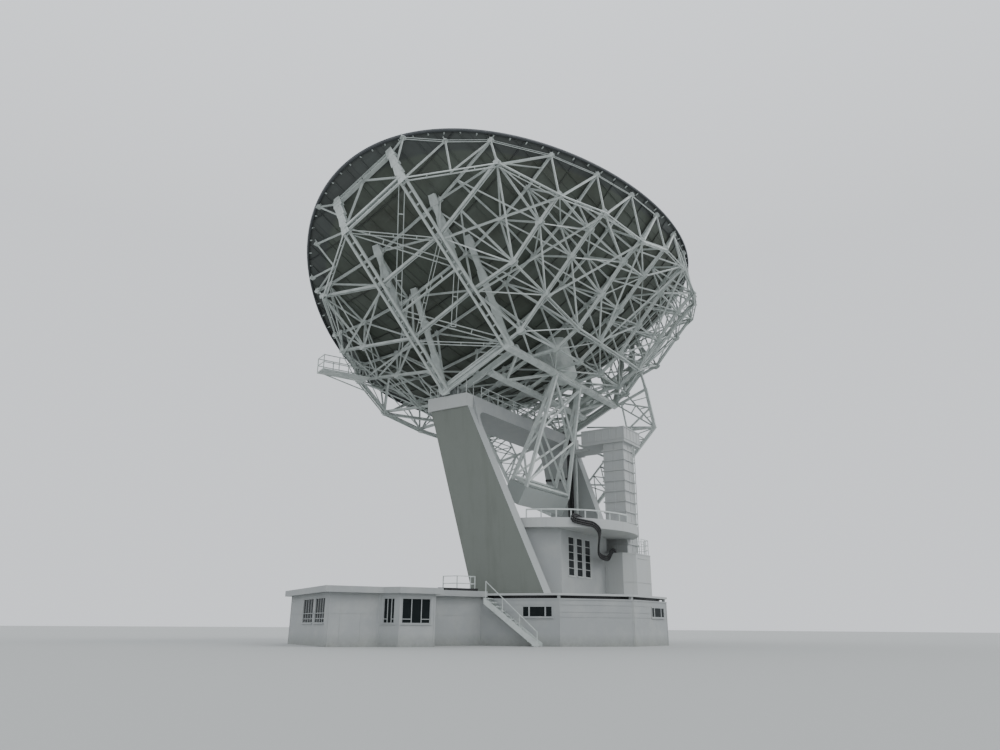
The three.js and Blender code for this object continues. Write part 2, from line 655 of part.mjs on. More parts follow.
add(telescope, "cable_run", solid(cableTube), DARK);

// Post with an arm that steadies the cables
const MAST = { x: 6000, y: 850, width: 140, top: 15600 };
const mastPoint = (y, z) => v3(MAST.x, y, z);
const mastArmZ = MAST.top - MAST.width / 2;
const mastBar = (from, to) => bar(from, to, MAST.width, MAST.width, X_AXIS, 0);
const cableMast = union([
  mastBar(mastPoint(MAST.y, ROOM.slabTop + GAP), mastPoint(MAST.y, MAST.top)),
  mastBar(mastPoint(MAST.y, mastArmZ), mastPoint(CAP.rear - GAP, mastArmZ)),
]);
add(telescope, "cable_mast", carve(cableMast, [swollen(solid(cableTube))]), PALE);

// Bowl
const dishW = (x, y) => (x * x + y * y) / (4 * FOCAL);
const edgeY = (x, side) => CENTRE_Y + side * HALF_Y * Math.sqrt(1 - (x / HALF_X) ** 2);
const RINGS = [0.16, 0.32, 0.48, 0.64, 0.78, 0.9, 1];
const SPOKES = 48;
const rimPoint = (spoke, k = 1, out = 0) => {
  const angle = (2 * Math.PI * spoke) / SPOKES;
  return [(k * HALF_X + out) * Math.cos(angle), k * CENTRE_Y + (k * HALF_Y + out) * Math.sin(angle)];
};

// Closed surface through rings of points, each ring a list of the same length; caps are end points.
// The diagonals change hand from quarter to quarter, so that the left half mirrors the right.
function loft(rings, capLow, capHigh) {
  const positions = [];
  const triangle = (...points) => points.forEach((q) => positions.push(...q));
  const count = rings[0].length;
  for (let i = 0; i < count; i++) {
    const next = (i + 1) % count;
    triangle(capLow, rings[0][next], rings[0][i]);
    triangle(capHigh, rings.at(-1)[i], rings.at(-1)[next]);
    const flipped = Math.floor((4 * i) / count) % 2 === 1;
    for (let r = 1; r < rings.length; r++) {
      const [a, b, c, d] = [rings[r - 1][i], rings[r - 1][next], rings[r][next], rings[r][i]];
      triangle(a, b, flipped ? d : c);
      triangle(flipped ? b : a, c, d);
    }
  }
  const geometry = new THREE.BufferGeometry();
  geometry.setAttribute("position", new THREE.Float32BufferAttribute(positions, 3));
  return geometry;
}

function skinGeometry(grow = 0) {
  const ring = (k, rise) =>
    Array.from({ length: SPOKES }, (_, i) => {
      const [x, y] = rimPoint(i, k);
      return [x, y, dishW(x, y) + rise];
    });
  const rear = RINGS.map((k) => ring(k, -SKIN - grow));
  const front = RINGS.map((k) => ring(k, grow)).reverse();
  return loft([...rear, ...front], [0, 0, -SKIN - grow], [0, 0, grow]);
}
const skin = solid(skinGeometry());
const skinClear = solid(skinGeometry(2 * GAP));
add(bowl, "reflector_skin", skin, SKIN_BACK);

// Rim band round the skin's edge
const RIM = { thick: 120, above: 60, below: 420 };
function rimGeometry() {
  const positions = [];
  const corner = (i, outside, up) => {
    const [x, y] = rimPoint(i % SPOKES, 1, outside ? RIM.thick : 2 * GAP);
    const [ex, ey] = rimPoint(i % SPOKES);
    return [x, y, dishW(ex, ey) + (up ? RIM.above : -RIM.below)];
  };
  const quad = (a, b, c, d) => [a, b, c, a, c, d].forEach((q) => positions.push(...q));
  for (let i = 0; i < SPOKES; i++) {
    const at = (outside, up, step) => corner(i + step, outside, up);
    quad(at(true, false, 0), at(true, false, 1), at(true, true, 1), at(true, true, 0));
    quad(at(true, true, 0), at(true, true, 1), at(false, true, 1), at(false, true, 0));
    quad(at(false, true, 0), at(false, true, 1), at(false, false, 1), at(false, false, 0));
    quad(at(false, false, 0), at(false, false, 1), at(true, false, 1), at(true, false, 0));
  }
  const geometry = new THREE.BufferGeometry();
  geometry.setAttribute("position", new THREE.Float32BufferAttribute(positions, 3));
  return geometry;
}
const rim = solid(rimGeometry());
add(bowl, "rim_band", rim, SKIN_BACK);

// Ribs: each lies in a plane of constant x. Rear chord points are [y, w], with the knee that passes
// over the portal beam on the ribs between the towers.
const KNEE = [[0, REAR_W], [2400, REAR_W], [4400, -800], [6400, -650], [7800, -1365]];
const REAR_CHORD = {
  1640: [
    [-11150, 0], [-8850, -750], [-6250, -1850], [-3900, -2950], [-1900, -3350],
    ...KNEE, [12300, 250],
  ],
  4920: [
    [-10480, -500], [-8730, -1010], [-6370, -2090], [-3900, -3050], [-1900, -3400],
    ...KNEE, [12800, 1360],
  ],
  8200: [
    [-9870, 670], [-8490, 250], [-6620, -520], [-3940, -1610], [-1330, -2700], [0, REAR_W],
    [AXIS_IN_BOWL.y, AXIS_IN_BOWL.w], [5830, -850], [8490, 730], [11850, 2690],
  ],
  11480: [
    [-8580, 1330], [-6690, 580], [-4020, -550], [-800, -250],
    [4400, -260], [8280, 1930], [10030, 2890],
  ],
  14760: [[-7000, 3500], [-1600, 2000], [3400, 2050], [7840, 4750]],
};
const WEB_SKIP = new Set([2400, 6400]); // chord corners with no web
const WEB_LEAN = 0.8; // where a front joint lies between two rear joints
const RIB_THICK = 180;
const DEEP = { rear: 250, front: 180, web: 140, pad: 220, girder: 500 };
const CHORD_DROP = 260; // from the skin's face to the middle of a rib's front chord
const skinNode = (x, y) => v3(x, y, dishW(x, y) - SKIN - CHORD_DROP);

const rimNode = (x, side) => skinNode(x, edgeY(x, side) - side * 320);

function ribBars(x) {
  const chord = REAR_CHORD[x];
  const rear = chord.map(([y, w]) => v3(x, y, w));
  const web = rear.filter((p) => !WEB_SKIP.has(p.y));
  const inner = web.slice(1).map((p, i) => skinNode(x, THREE.MathUtils.lerp(web[i].y, p.y, WEB_LEAN)));
  const front = [rimNode(x, -1), ...inner, rimNode(x, 1)];
  const flat = (from, to, deep, reach = 0.3 * deep) => bar(from, to, RIB_THICK, deep, X_AXIS, reach);
  const bars = [rear, front].flatMap((chord, i) =>
    chord.slice(1).map((p, j) => flat(chord[j], p, i === 0 ? DEEP.rear : DEEP.front)),
  );
  web.forEach((p, i) => bars.push(flat(front[i], p, DEEP.web, 0), flat(p, front[i + 1], DEEP.web, 0)));
  for (const p of front) bars.push(flat(p, v3(x, p.y, dishW(x, p.y) - SKIN / 2), DEEP.pad, 0));
  return bars;
}

// Trunnion on the elevation axis, and the lugs that it passes through
const TRUNNION = { from: 6700, to: 8420 };
const onAxis = (radius, from, to, sides = 24) => (grow) =>
  rodX(radius + grow, from - grow, to + grow, AXIS_IN_BOWL.y, AXIS_IN_BOWL.w, sides);
const trunnion = onAxis(BEARING.pin, TRUNNION.from, TRUNNION.to, 32);
const lug = (x, half, radius) => onAxis(radius, x - half, x + half);

function ribMembers(x) {
  const members = ribBars(x);
  if (x === 8200) {
    const [foot, pin] = [v3(x, 0, REAR_W), v3(x, AXIS_IN_BOWL.y, AXIS_IN_BOWL.w)];
    members.push(bar(foot, pin, RIB_THICK, DEEP.girder), lug(x, RIB_THICK / 2, 480), trunnion);
  }
  return members;
}
const ribsRight = RIB_X.map((x) => carve(union(ribMembers(x)), [skinClear]));
RIB_X.forEach((x, i) => {
  add(bowl, `rib_right_${i + 1}`, ribsRight[i], STEEL);
  add(bowl, `rib_left_${i + 1}`, mirrored(ribsRight[i]), STEEL);
});
const ribsClear = RIB_X.map((x) => union(ribMembers(x), GAP));
const allRibsClear = [...ribsClear, ...ribsClear.map(mirrored)];

// End frame: a deep beam under the skin on two posts, with two braces to its middle
const END = { y: 2400, low: 4300, beam: 300 };
function endFrame() {
  const top = (y) => skinNode(END_X, y);
  const low = (y) => v3(END_X, y, END.low);
  const bars = [
    bar(top(-END.y), top(END.y), END.beam),
    bar(low(-END.y), low(END.y), 220),
    bar(top(-END.y), low(-END.y), 220),
    bar(top(END.y), low(END.y), 220),
    bar(low(-END.y), top(0), 150),
    bar(low(END.y), top(0), 150),
  ];
  for (const y of [-END.y, 0, END.y])
    bars.push(bar(top(y), v3(END_X, y, dishW(END_X, y) - SKIN / 2), 200, 200, X_AXIS, 0));
  return bars;
}

// Elevation frame: cross chords behind the ribs and the inner girders that reach the trunnions
const CROSS = { depth: 400, w: REAR_W - DEEP.rear / 2 - GAP - 200 };
const crossPoint = (x, y) => v3(x, y, CROSS.w);
const innerGirder = (side) => {
  const x = side * INNER_GIRDER_X;
  return [
    bar(v3(x, -200, REAR_W), v3(x, AXIS_IN_BOWL.y, AXIS_IN_BOWL.w), 240, 400, X_AXIS, 0),
    lug(x, 120, 420),
  ];
};
const frameBars = [
  bar(crossPoint(-8320, 0), crossPoint(8320, 0), CROSS.depth, CROSS.depth, Z_AXIS, 0),
  bar(crossPoint(-INNER_GIRDER_X, 2400), crossPoint(INNER_GIRDER_X, 2400), 260, CROSS.depth, Z_AXIS, 0),
  ...innerGirder(1),
  ...innerGirder(-1),
];
for (const side of [-1, 1])
  for (const [from, to] of [[1640, 0], [1640, 4920], [INNER_GIRDER_X, 4920]])
    frameBars.push(bar(crossPoint(side * from, 0), crossPoint(side * to, 2400), 160, 160, Z_AXIS, 0));
const elevationFrame = carve(union(frameBars), allRibsClear);
add(bowl, "elevation_frame", elevationFrame, STEEL);
const frameClear = union(frameBars, GAP);

// Hub cone between the vertex and the elevation frame
const hub = solid(cylinder(850, CROSS.w + 100, 0, 24, 1350));
add(bowl, "hub_cone", carve(hub, [skinClear, frameClear, ...allRibsClear]), PALE);

// Feed mast and focus cabin, out of sight in the view from behind
const FEED = { mastTop: 11300, cabinTop: 12900 };
const mast = union([
  cylinder(520, -SKIN / 2, FEED.mastTop + 10, 12, 300),
  cylinder(900, FEED.mastTop, FEED.cabinTop, 24),
]);
add(bowl, "feed_mast", carve(mast, [skinClear]), PALE);

// Bracing of the rear surface, laid just behind the ribs
const BEHIND = 225;
const rearPoint = (x, y, w) => v3(x, y, w - BEHIND);
const outerBack = RIB_X.map((x) => rearPoint(x, ...REAR_CHORD[x][0]));
const outerFront = RIB_X.map((x) => rearPoint(x, ...REAR_CHORD[x].at(-1)));
const flip = (p) => v3(-p.x, p.y, p.z);

// Bars from the outer joints, given from the wing inwards, each up to the next rib's edge.
function edgeWebs(joints, sign) {
  return joints.slice(1).map((next, i) => bar(joints[i], rimNode(next.x, sign), 150, 150, X_AXIS, 30));
}

// The middle bays between the outer ribs of the tower zone, on one side of the towers.
function edgeBracing(outer, sign, mid) {
  const half = outer.slice(0, 3);
  const joints = [...half.map(flip).reverse(), ...half];
  const inner = mid.map(([y, w], i) => rearPoint(RIB_X[i], y, w));
  const innerJoints = [...inner.map(flip).reverse(), ...inner];
  const bars = [...path(joints, 220, 200, Z_AXIS), ...path(innerJoints, 180, 160, Z_AXIS)];
  joints.slice(1).forEach((joint, i) => {
    const odd = i % 2 === 1;
    const [from, to] = odd ? [joints[i], innerJoints[i + 1]] : [innerJoints[i], joint];
    bars.push(bar(from, to, 140, 140, Z_AXIS));
  });
  bars.push(...edgeWebs(half.slice().reverse(), sign), ...edgeWebs(half.map(flip).reverse(), sign));
  bars.push(...edgeWebs([flip(half[0]), half[0]], sign));
  return bars;
}
const backMid = [[-3900, -2950], [-3900, -3050], [-3940, -1610]];
const frontMid = [[9750, -670], [9600, -384], [9300, 1200]];
const cutters = [skinClear, ...allRibsClear, frameClear];
const backBars = edgeBracing(outerBack, -1, backMid);
const frontBars = edgeBracing(outerFront, 1, frontMid);
add(bowl, "back_bracing", carve(union(backBars), cutters), STEEL);
add(bowl, "front_bracing", carve(union(frontBars), cutters), STEEL);

// Wings: double chords from the elevation frame out to the end frames, with their bracing
const alongWing = (from, to, x) => {
  const t = (x - from[0]) / (to[0] - from[0]);
  return rearPoint(x, from[1] + t * (to[1] - from[1]), from[2] + t * (to[2] - from[2]));
};
const wingXs = [8200, 11480, 14760, END_X];
const chordA = wingXs.map((x) => alongWing([8200, 0, REAR_W], [END_X, -END.y, END.low], x));
const chordB = wingXs.map((x) => alongWing([8200, 5400, REAR_W], [END_X, END.y, END.low], x));
function doubleChord(points) {
  const apart = v3(0, 230, 0);
  const [low, high] = [-1, 1].map((side) => points.map((p) => p.clone().addScaledVector(apart, side)));
  const strips = [low, high].flatMap((chord) => path(chord, 150, 190, v3(0, 1, 0)));
  return [...strips, ...points.map((_, i) => bar(low[i], high[i], 160, 160, X_AXIS))];
}
// The half bay between the outermost rib and the end frame.
function endBay(outer, sign) {
  const mid = outer[2].clone().lerp(outer[3], 0.5);
  const y = edgeY(mid.x, sign) - sign * 250;
  const edge = v3(mid.x, y, dishW(mid.x, y) - SKIN / 2);
  return [[mid, edge], [edge, outer[3]], [rimNode(outer[2].x, sign), mid]].map(([from, to]) =>
    bar(from, to, 120, 120, X_AXIS, 30),
  );
}
const wingBack = [...outerBack.slice(2), chordA[3]];
const wingFront = [...outerFront.slice(2), chordB[3]];
const wingBars = [
  ...endFrame(),
  ...doubleChord(chordA),
  ...doubleChord(chordB),
  ...path(wingBack, 200, 200, Z_AXIS),
  ...path(wingFront, 200, 200, Z_AXIS),
  ...edgeWebs(wingBack.slice(0, 3).reverse(), -1),
  ...edgeWebs(wingFront.slice(0, 3).reverse(), 1),
  ...endBay(wingBack, -1),
  ...endBay(wingFront, 1),
];
const wingDiagonals = [
  [chordA[1], wingBack[0]], [chordA[2], wingBack[1]], [chordB[1], wingFront[0]],
  [chordB[2], wingFront[1]], [chordA[0], chordB[1]], [chordB[1], chordA[2]], [chordA[2], chordB[3]],
];
wingBars.push(...wingDiagonals.map(([a, b]) => bar(a, b, 140, 140, Z_AXIS)));
const wing = carve(union(wingBars), [
  ...cutters, union(backBars, GAP), union(frontBars, GAP),
]);
add(bowl, "wing_bracing_right", wing, STEEL);
add(bowl, "wing_bracing_left", mirrored(wing), STEEL);

// Service platform at the front left, level at rest, drawn in the fixed frame
const LEDGE = { from: v3(-8600, 10190, 18050), to: v3(-11900, 11560, 18050), width: 1200, rail: 1050 };
bowl.updateMatrix();
const toBowl = bowl.matrix.clone().invert();
const ledgeAlong = LEDGE.to.clone().sub(LEDGE.from);
const ledgeSide = v3(-ledgeAlong.y, ledgeAlong.x, 0).setLength(LEDGE.width / 2 - 30);
const ledgePoint = (t, side, up) =>
  LEDGE.from.clone().addScaledVector(ledgeAlong, t).addScaledVector(ledgeSide, side).add(v3(0, 0, up));
const ledge = [bar(LEDGE.from, LEDGE.to, LEDGE.width, 80, Z_AXIS.clone().cross(ledgeAlong), 0)];
for (const side of [-1, 1]) {
  for (const t of [0.02, 0.34, 0.67, 0.99])
    ledge.push(bar(ledgePoint(t, side, -20), ledgePoint(t, side, LEDGE.rail), 50, 50, X_AXIS, 0));
  for (const up of [LEDGE.rail / 2, LEDGE.rail])
    ledge.push(bar(ledgePoint(0.02, side, up), ledgePoint(0.99, side, up), 50, 50, Z_AXIS, 25));
  ledge.push(bar(ledgePoint(0.85, side, 0), ledgePoint(-0.1, side, -700), 70, 70, Z_AXIS, 0));
}
for (const up of [LEDGE.rail / 2, LEDGE.rail])
  ledge.push(bar(ledgePoint(0.99, -1, up), ledgePoint(0.99, 1, up), 50, 50, Z_AXIS, 25));
const ledgeCutters = [...cutters, union(frontBars, GAP), mirrored(union(wingBars, GAP))];
const ledgeMembers = ledge.map((member) => (grow) => member(grow).applyMatrix4(toBowl));
add(bowl, "service_platform", carve(union(ledgeMembers), ledgeCutters), STEEL);

// Counterweight on a braced arm below the elevation frame
const WEIGHT = { half: 3100, corner: [5127, -9678], across: [821, 1174], down: [1108, -797] };
const weightPoint = (x, a, d) =>
  [x, ...WEIGHT.corner.map((c, i) => c + a * WEIGHT.across[i] + d * WEIGHT.down[i])];
const weightEnd = (x) => [[0, 1], [1, 1], [1, 0], [0, 0]].map(([a, d]) => weightPoint(x, a, d));
const weight = solid(block(weightEnd(-WEIGHT.half), weightEnd(WEIGHT.half)));
add(bowl, "counterweight_box", weight, PALE);
const armTop = (side) => v3(side * 1800, 0, CROSS.w - CROSS.depth / 2 + 20);
const armFoot = (side, a) => v3(...weightPoint(side * 2950, 0.06 + 0.88 * a, -0.03));
const armPoint = (side, a, t) => armTop(side).lerp(armFoot(side, a), t);
const armBars = [0, 1].flatMap((a) => [
  bar(armTop(-1), armFoot(-1, a), 220),
  bar(armTop(1), armFoot(1, a), 220),
  bar(armPoint(-1, a, 0.98), armPoint(1, a, 0.98), 180, 180, Z_AXIS),
  bar(armPoint(-1, a, 0.03), armPoint(1, a, 0.5), 140, 140, Z_AXIS),
  bar(armPoint(1, a, 0.03), armPoint(-1, a, 0.5), 140, 140, Z_AXIS),
  bar(armPoint(-1, a, 0.5), armPoint(1, a, 0.97), 140, 140, Z_AXIS),
  bar(armPoint(1, a, 0.5), armPoint(-1, a, 0.97), 140, 140, Z_AXIS),
]);
for (const side of [-1, 1])
  armBars.push(
    bar(armPoint(side, 0, 0.98), armPoint(side, 1, 0.98), 180, 180),
    bar(armPoint(side, 0, 0.5), armPoint(side, 1, 0.75), 120, 120),
    bar(armPoint(side, 1, 0.75), armPoint(side, 0, 0.97), 120, 120),
  );
armBars.push(bar(armTop(-1), armTop(1), 200, 200, Z_AXIS, 100));
const arm = carve(union(armBars), [frameClear, swollen(weight), ...allRibsClear]);
add(bowl, "counterweight_arm", arm, STEEL);

// Elevation sector beside the right bearing: half a wheel with spokes and a straight-sided edge
const SECTOR_EDGE = [
  [-2940, -3340], [-2040, -6510], [1580, -7900], [5200, -9300],
  [9070, -8190], [11590, -5060], [11710, -1180], [11850, 2690],
];
const SECTOR_INNER = 0.72; // where the inner chord lies on the way from the axis to the edge
const sectorPoint = ([y, w], reach = 1) =>
  v3(8200, AXIS_IN_BOWL.y + reach * (y - AXIS_IN_BOWL.y), AXIS_IN_BOWL.w + reach * (w - AXIS_IN_BOWL.w));
const sectorBars = SECTOR_EDGE.slice(0, -1).map((p) =>
  bar(sectorPoint(p, 0.06), sectorPoint(p), 180, 180, X_AXIS, 0),
);
sectorBars.push(bar(sectorPoint(SECTOR_EDGE[0]), v3(8200, -3300, -1600), 180, 180, X_AXIS, 0));
for (const [i, next] of SECTOR_EDGE.slice(1).entries()) {
  const [from, to] = [sectorPoint(SECTOR_EDGE[i]), sectorPoint(next)];
  const mid = from.clone().lerp(to, 0.5);
  const [near, far] = [SECTOR_EDGE[i], next].map((p) => sectorPoint(p, SECTOR_INNER));
  sectorBars.push(bar(from, to, 200, 240), bar(near, mid, 120), bar(mid, far, 120), bar(near, far, 120));
}
const bracingClear = [backBars, frontBars, wingBars].map((bars) => union(bars, GAP));
const sector = carve(union(sectorBars), [ribsClear[2], frameClear, ...bracingClear]);
add(bowl, "elevation_sector", sector, STEEL);

export default telescope;
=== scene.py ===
# Looks of the steerable dish: materials, fine steelwork, building details, light and camera.
import json
from math import atan2, cos, dist, pi, radians, sin, sqrt

import bmesh
import bpy
from mathutils import Matrix, Vector


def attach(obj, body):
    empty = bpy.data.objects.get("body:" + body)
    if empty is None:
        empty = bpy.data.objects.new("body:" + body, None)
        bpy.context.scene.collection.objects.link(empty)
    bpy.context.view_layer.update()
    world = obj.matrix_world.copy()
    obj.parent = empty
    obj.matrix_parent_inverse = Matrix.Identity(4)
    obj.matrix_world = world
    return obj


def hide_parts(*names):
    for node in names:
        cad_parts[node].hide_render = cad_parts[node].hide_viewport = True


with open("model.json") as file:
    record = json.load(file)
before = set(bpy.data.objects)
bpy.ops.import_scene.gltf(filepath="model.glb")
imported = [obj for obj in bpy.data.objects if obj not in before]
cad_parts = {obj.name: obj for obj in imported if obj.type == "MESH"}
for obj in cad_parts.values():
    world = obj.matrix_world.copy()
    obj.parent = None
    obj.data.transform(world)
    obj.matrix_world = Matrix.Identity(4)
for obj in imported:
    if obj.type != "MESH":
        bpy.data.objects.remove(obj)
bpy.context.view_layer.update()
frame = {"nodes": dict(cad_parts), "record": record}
nodes = frame["nodes"]

# The bowl's own frame: x across, y towards its front rim, w along the beam
TILT = radians(25.8)
VERTEX = Vector((0.0, -0.404, 21.095))
BOWL_Y = Vector((0.0, cos(TILT), -sin(TILT)))
BOWL_W = Vector((0.0, sin(TILT), cos(TILT)))
HALF_X, HALF_Y, CENTRE_Y, FOCAL = 19.05, 12.7, 0.4, 12.19


def bowl(x, y, w):
    return VERTEX + Vector((x, 0, 0)) + BOWL_Y * y + BOWL_W * w


def dish_w(x, y):
    return (x * x + y * y) / (4 * FOCAL)


# Materials


class Nodes:
    """A node tree that nodes are added to."""

    def __init__(self, tree):
        self.tree = tree

    def feed(self, socket, value):
        """Links a socket to another one, or sets its value."""
        if isinstance(value, bpy.types.NodeSocket):
            self.tree.links.new(value, socket)
        else:
            socket.default_value = value

    def node(self, kind, output, *values, settings=None, **inputs):
        """An output of a new node, with values fed to its first inputs and to named ones."""
        node = self.tree.nodes.new(f"ShaderNode{kind}")
        for name, value in (settings or {}).items():
            setattr(node, name, value)
        for name, value in (*enumerate(values), *inputs.items()):
            self.feed(node.inputs[name], value)
        return node.outputs[output]


class Look(Nodes):
    """A node material that starts from a Principled shader."""

    def __init__(self, name, colour, rough):
        self.name = name
        self.mat = bpy.data.materials.new(name)
        self.mat.use_nodes = True
        super().__init__(self.mat.node_tree)
        self.bsdf = self.tree.nodes["Principled BSDF"]
        self.feed(self.bsdf.inputs["Roughness"], rough)
        self.feed(self.bsdf.inputs["Base Color"], (*colour, 1))
        self.coords = self.node("TexCoord", "Object")
        self.normal = self.node("TexCoord", "Normal")
        self.colour = (*colour, 1)

    def place(self, scale=(1, 1, 1), turn=(0, 0, 0), move=(0, 0, 0), where=None):
        where = where or self.coords
        return self.node("Mapping", "Vector", Vector=where, Location=move, Rotation=turn, Scale=scale)

    def noise(self, scale, detail=4.0, rough=0.55, where=None):
        where = where or self.coords
        return self.node("TexNoise", "Fac", Vector=where, Scale=scale, Detail=detail, Roughness=rough)

    def ramp(self, value, low, high, to=(0.0, 1.0)):
        ends = {"From Min": low, "From Max": high, "To Min": to[0], "To Max": to[1]}
        return self.node("MapRange", "Result", Value=value, **ends)

    def sums(self, operation, first, second):
        return self.node("Math", 0, first, second, settings={"operation": operation})

    def part(self, vector, axis):
        return self.node("SeparateXYZ", axis, Vector=vector)

    def along_beam(self):
        """How far a face looks along the bowl's beam."""
        settings = {"operation": "DOT_PRODUCT"}
        return self.node("VectorMath", "Value", self.normal, BOWL_W, settings=settings)

    def tint(self, factor, colour, amount):
        """Mixes a colour over the base where the factor is high."""
        node = self.tree.nodes.new("ShaderNodeMix")
        node.data_type = "RGBA"
        scaled = self.sums("MULTIPLY", factor, amount)
        for socket, value in ((0, scaled), (6, self.colour), (7, (*colour, 1))):
            self.feed(node.inputs[socket], value)
        self.colour = node.outputs[2]
        self.feed(self.bsdf.inputs["Base Color"], self.colour)

    def roughen(self, value):
        self.feed(self.bsdf.inputs["Roughness"], value)

    def bump(self, height, strength, distance):
        bumped = self.node("Bump", "Normal", Strength=strength, Distance=distance, Height=height)
        self.feed(self.bsdf.inputs["Normal"], bumped)


def masonry(name, colour, grime=0.35):
    """Painted render: faint blotches, rain streaks that run down, and dirt low on the wall."""
    look = Look(name, colour, 0.75)
    blotch = look.noise(0.9, 5, 0.6)
    look.tint(look.ramp(blotch, 0.45, 0.7), (0.52, 0.53, 0.5), grime)
    streaks = look.noise(1.0, 6, 0.6, look.place(scale=(3.2, 3.2, 0.16)))
    look.tint(look.ramp(streaks, 0.55, 0.8), (0.36, 0.37, 0.34), grime)
    height = look.part(look.coords, 2)
    low = look.ramp(height, 0.7, 0.0)
    look.tint(look.sums("MULTIPLY", low, look.noise(5.0, 6, 0.7)), (0.16, 0.17, 0.13), 0.8)
    look.roughen(look.ramp(blotch, 0.3, 0.7, (0.65, 0.85)))
    look.bump(look.noise(26.0, 6, 0.65), 0.25, 0.02)
    return look


def bowl_place(look, scale=(1, 1, 1)):
    """Texture coordinates in the bowl's own frame."""
    turned = Matrix.Rotation(TILT, 3, "X") @ VERTEX
    first = look.place(turn=(TILT, 0, 0), move=tuple(-turned))
    return look.place(scale, where=first)


def seams(look, vector, size, width):
    """Lines of a grid: 1 on a seam and 0 between seams, along the first two axes."""
    lines = []
    for axis in (0, 1):
        cell = look.sums("DIVIDE", look.part(vector, axis), size[axis])
        near = look.sums("ABSOLUTE", look.sums("SUBTRACT", look.sums("FRACT", cell, 0), 0.5), 0)
        lines.append(look.sums("GREATER_THAN", near, 0.5 - width / size[axis]))
    return look.sums("MAXIMUM", lines[0], lines[1])


def panels(look, vector, size):
    """One random value for each panel of the grid."""
    snapped = look.node("VectorMath", 0, vector, (*size, 1000.0), settings={"operation": "SNAP"})
    return look.node("TexWhiteNoise", "Value", settings={"noise_dimensions": "2D"}, Vector=snapped)


def outer_strip(look, where):
    """1 in the bowl's outer strip and 0 inside it."""
    across = look.sums("DIVIDE", look.part(where, 0), HALF_X)
    down = look.sums("DIVIDE", look.sums("SUBTRACT", look.part(where, 1), CENTRE_Y), HALF_Y)
    total = look.sums("ADD", look.sums("MULTIPLY", across, across), look.sums("MULTIPLY", down, down))
    return look.ramp(total, 0.875, 0.895)


def reflector(name, both_sides):
    """Dull grey-green sheet with the panels' seams, and pale grey in front where it has two sides."""
    look = Look(name, (0.088, 0.104, 0.084), 0.6)
    where = bowl_place(look)
    size = (1.64, 2.2)
    shade = panels(look, where, size)
    look.tint(shade, (0.135, 0.152, 0.13), 0.55)
    patches = look.noise(0.35, 5, 0.6, where)
    look.tint(look.ramp(patches, 0.45, 0.72), (0.05, 0.05, 0.036), 0.6)
    streak = look.noise(1.0, 5, 0.6, bowl_place(look, (2.4, 0.2, 1.0)))
    look.tint(look.ramp(streak, 0.55, 0.8), (0.15, 0.16, 0.15), 0.5)
    seam = seams(look, where, size, 0.035)
    look.tint(seam, (0.05, 0.055, 0.048), 0.6)
    look.tint(outer_strip(look, where), (0.055, 0.058, 0.068), 0.5)
    look.bump(seam, 0.4, -0.02)
    if not both_sides:
        return look
    front = look.sums("GREATER_THAN", look.along_beam(), 0.35)
    pale = look.noise(0.6, 4, 0.6, where)
    look.tint(front, (0.55, 0.57, 0.56), 1.0)
    look.tint(look.sums("MULTIPLY", front, look.ramp(pale, 0.4, 0.7)), (0.42, 0.44, 0.42), 0.6)
    look.tint(look.sums("MULTIPLY", front, seam), (0.25, 0.26, 0.25), 0.7)
    return look


def painted_steel(name, colour, rough=0.5, worn=(0.36, 0.39, 0.38)):
    """Pale grey paint on steel, a little darker in patches, with a few rusty specks."""
    look = Look(name, colour, rough)
    patch = look.noise(1.7, 4, 0.6)
    look.tint(look.ramp(patch, 0.4, 0.75), worn, 0.6)
    specks = look.noise(9.0, 6, 0.7)
    look.tint(look.ramp(specks, 0.7, 0.8), (0.19, 0.1, 0.05), 0.35)
    look.roughen(look.ramp(patch, 0.3, 0.7, (0.4, 0.6)))
    look.bump(look.noise(30.0, 4, 0.6), 0.1, 0.01)
    return look


def glass():
    look = Look("window_glass", (0.01, 0.014, 0.015), 0.3)
    dust = look.noise(3.0, 5, 0.6)
    look.tint(look.ramp(dust, 0.5, 0.8), (0.03, 0.035, 0.035), 0.3)
    look.roughen(look.ramp(dust, 0.4, 0.8, (0.3, 0.45)))
    look.bsdf.inputs["Specular IOR Level"].default_value = 0.08
    return look


def rubber():
    look = Look("cable_rubber", (0.012, 0.012, 0.013), 0.55)
    dust = look.noise(6.0, 5, 0.6)
    look.tint(look.ramp(dust, 0.5, 0.8), (0.06, 0.06, 0.058), 0.6)
    look.bump(look.noise(40.0, 4, 0.6), 0.2, 0.01)
    return look


LOOKS = {look.name: look for look in (
    masonry("painted_masonry", (0.49, 0.505, 0.5)),
    masonry("shaded_masonry", (0.37, 0.385, 0.385)),
    masonry("rough_concrete", (0.5, 0.51, 0.48), 0.5),
    painted_steel("lattice_steel", (0.6, 0.64, 0.615)),
    reflector("reflector_sheet", True),
    reflector("reflector_back", False),
    painted_steel("rim_steel", (0.05, 0.056, 0.06), 0.6, (0.035, 0.04, 0.045)),
    painted_steel("counterweight_steel", (0.38, 0.41, 0.395)),
    painted_steel("bearing_steel", (0.05, 0.055, 0.055)),
    rubber(),
)}
LOOKS["glass"] = glass()
slot_of = {row["node"]: row["material_slot"] for row in frame["record"]["subparts"]}
SHADED_WALLS = ("drum_wall", "annex", "room_rear", "room_front", "portal_beam")
for name, obj in nodes.items():
    shaded = name.startswith(SHADED_WALLS) and "glass" not in name
    obj.data.materials.clear()
    obj.data.materials.append(LOOKS["shaded_masonry" if shaded else slot_of[name]].mat)


CAP_FOOT = 14.95


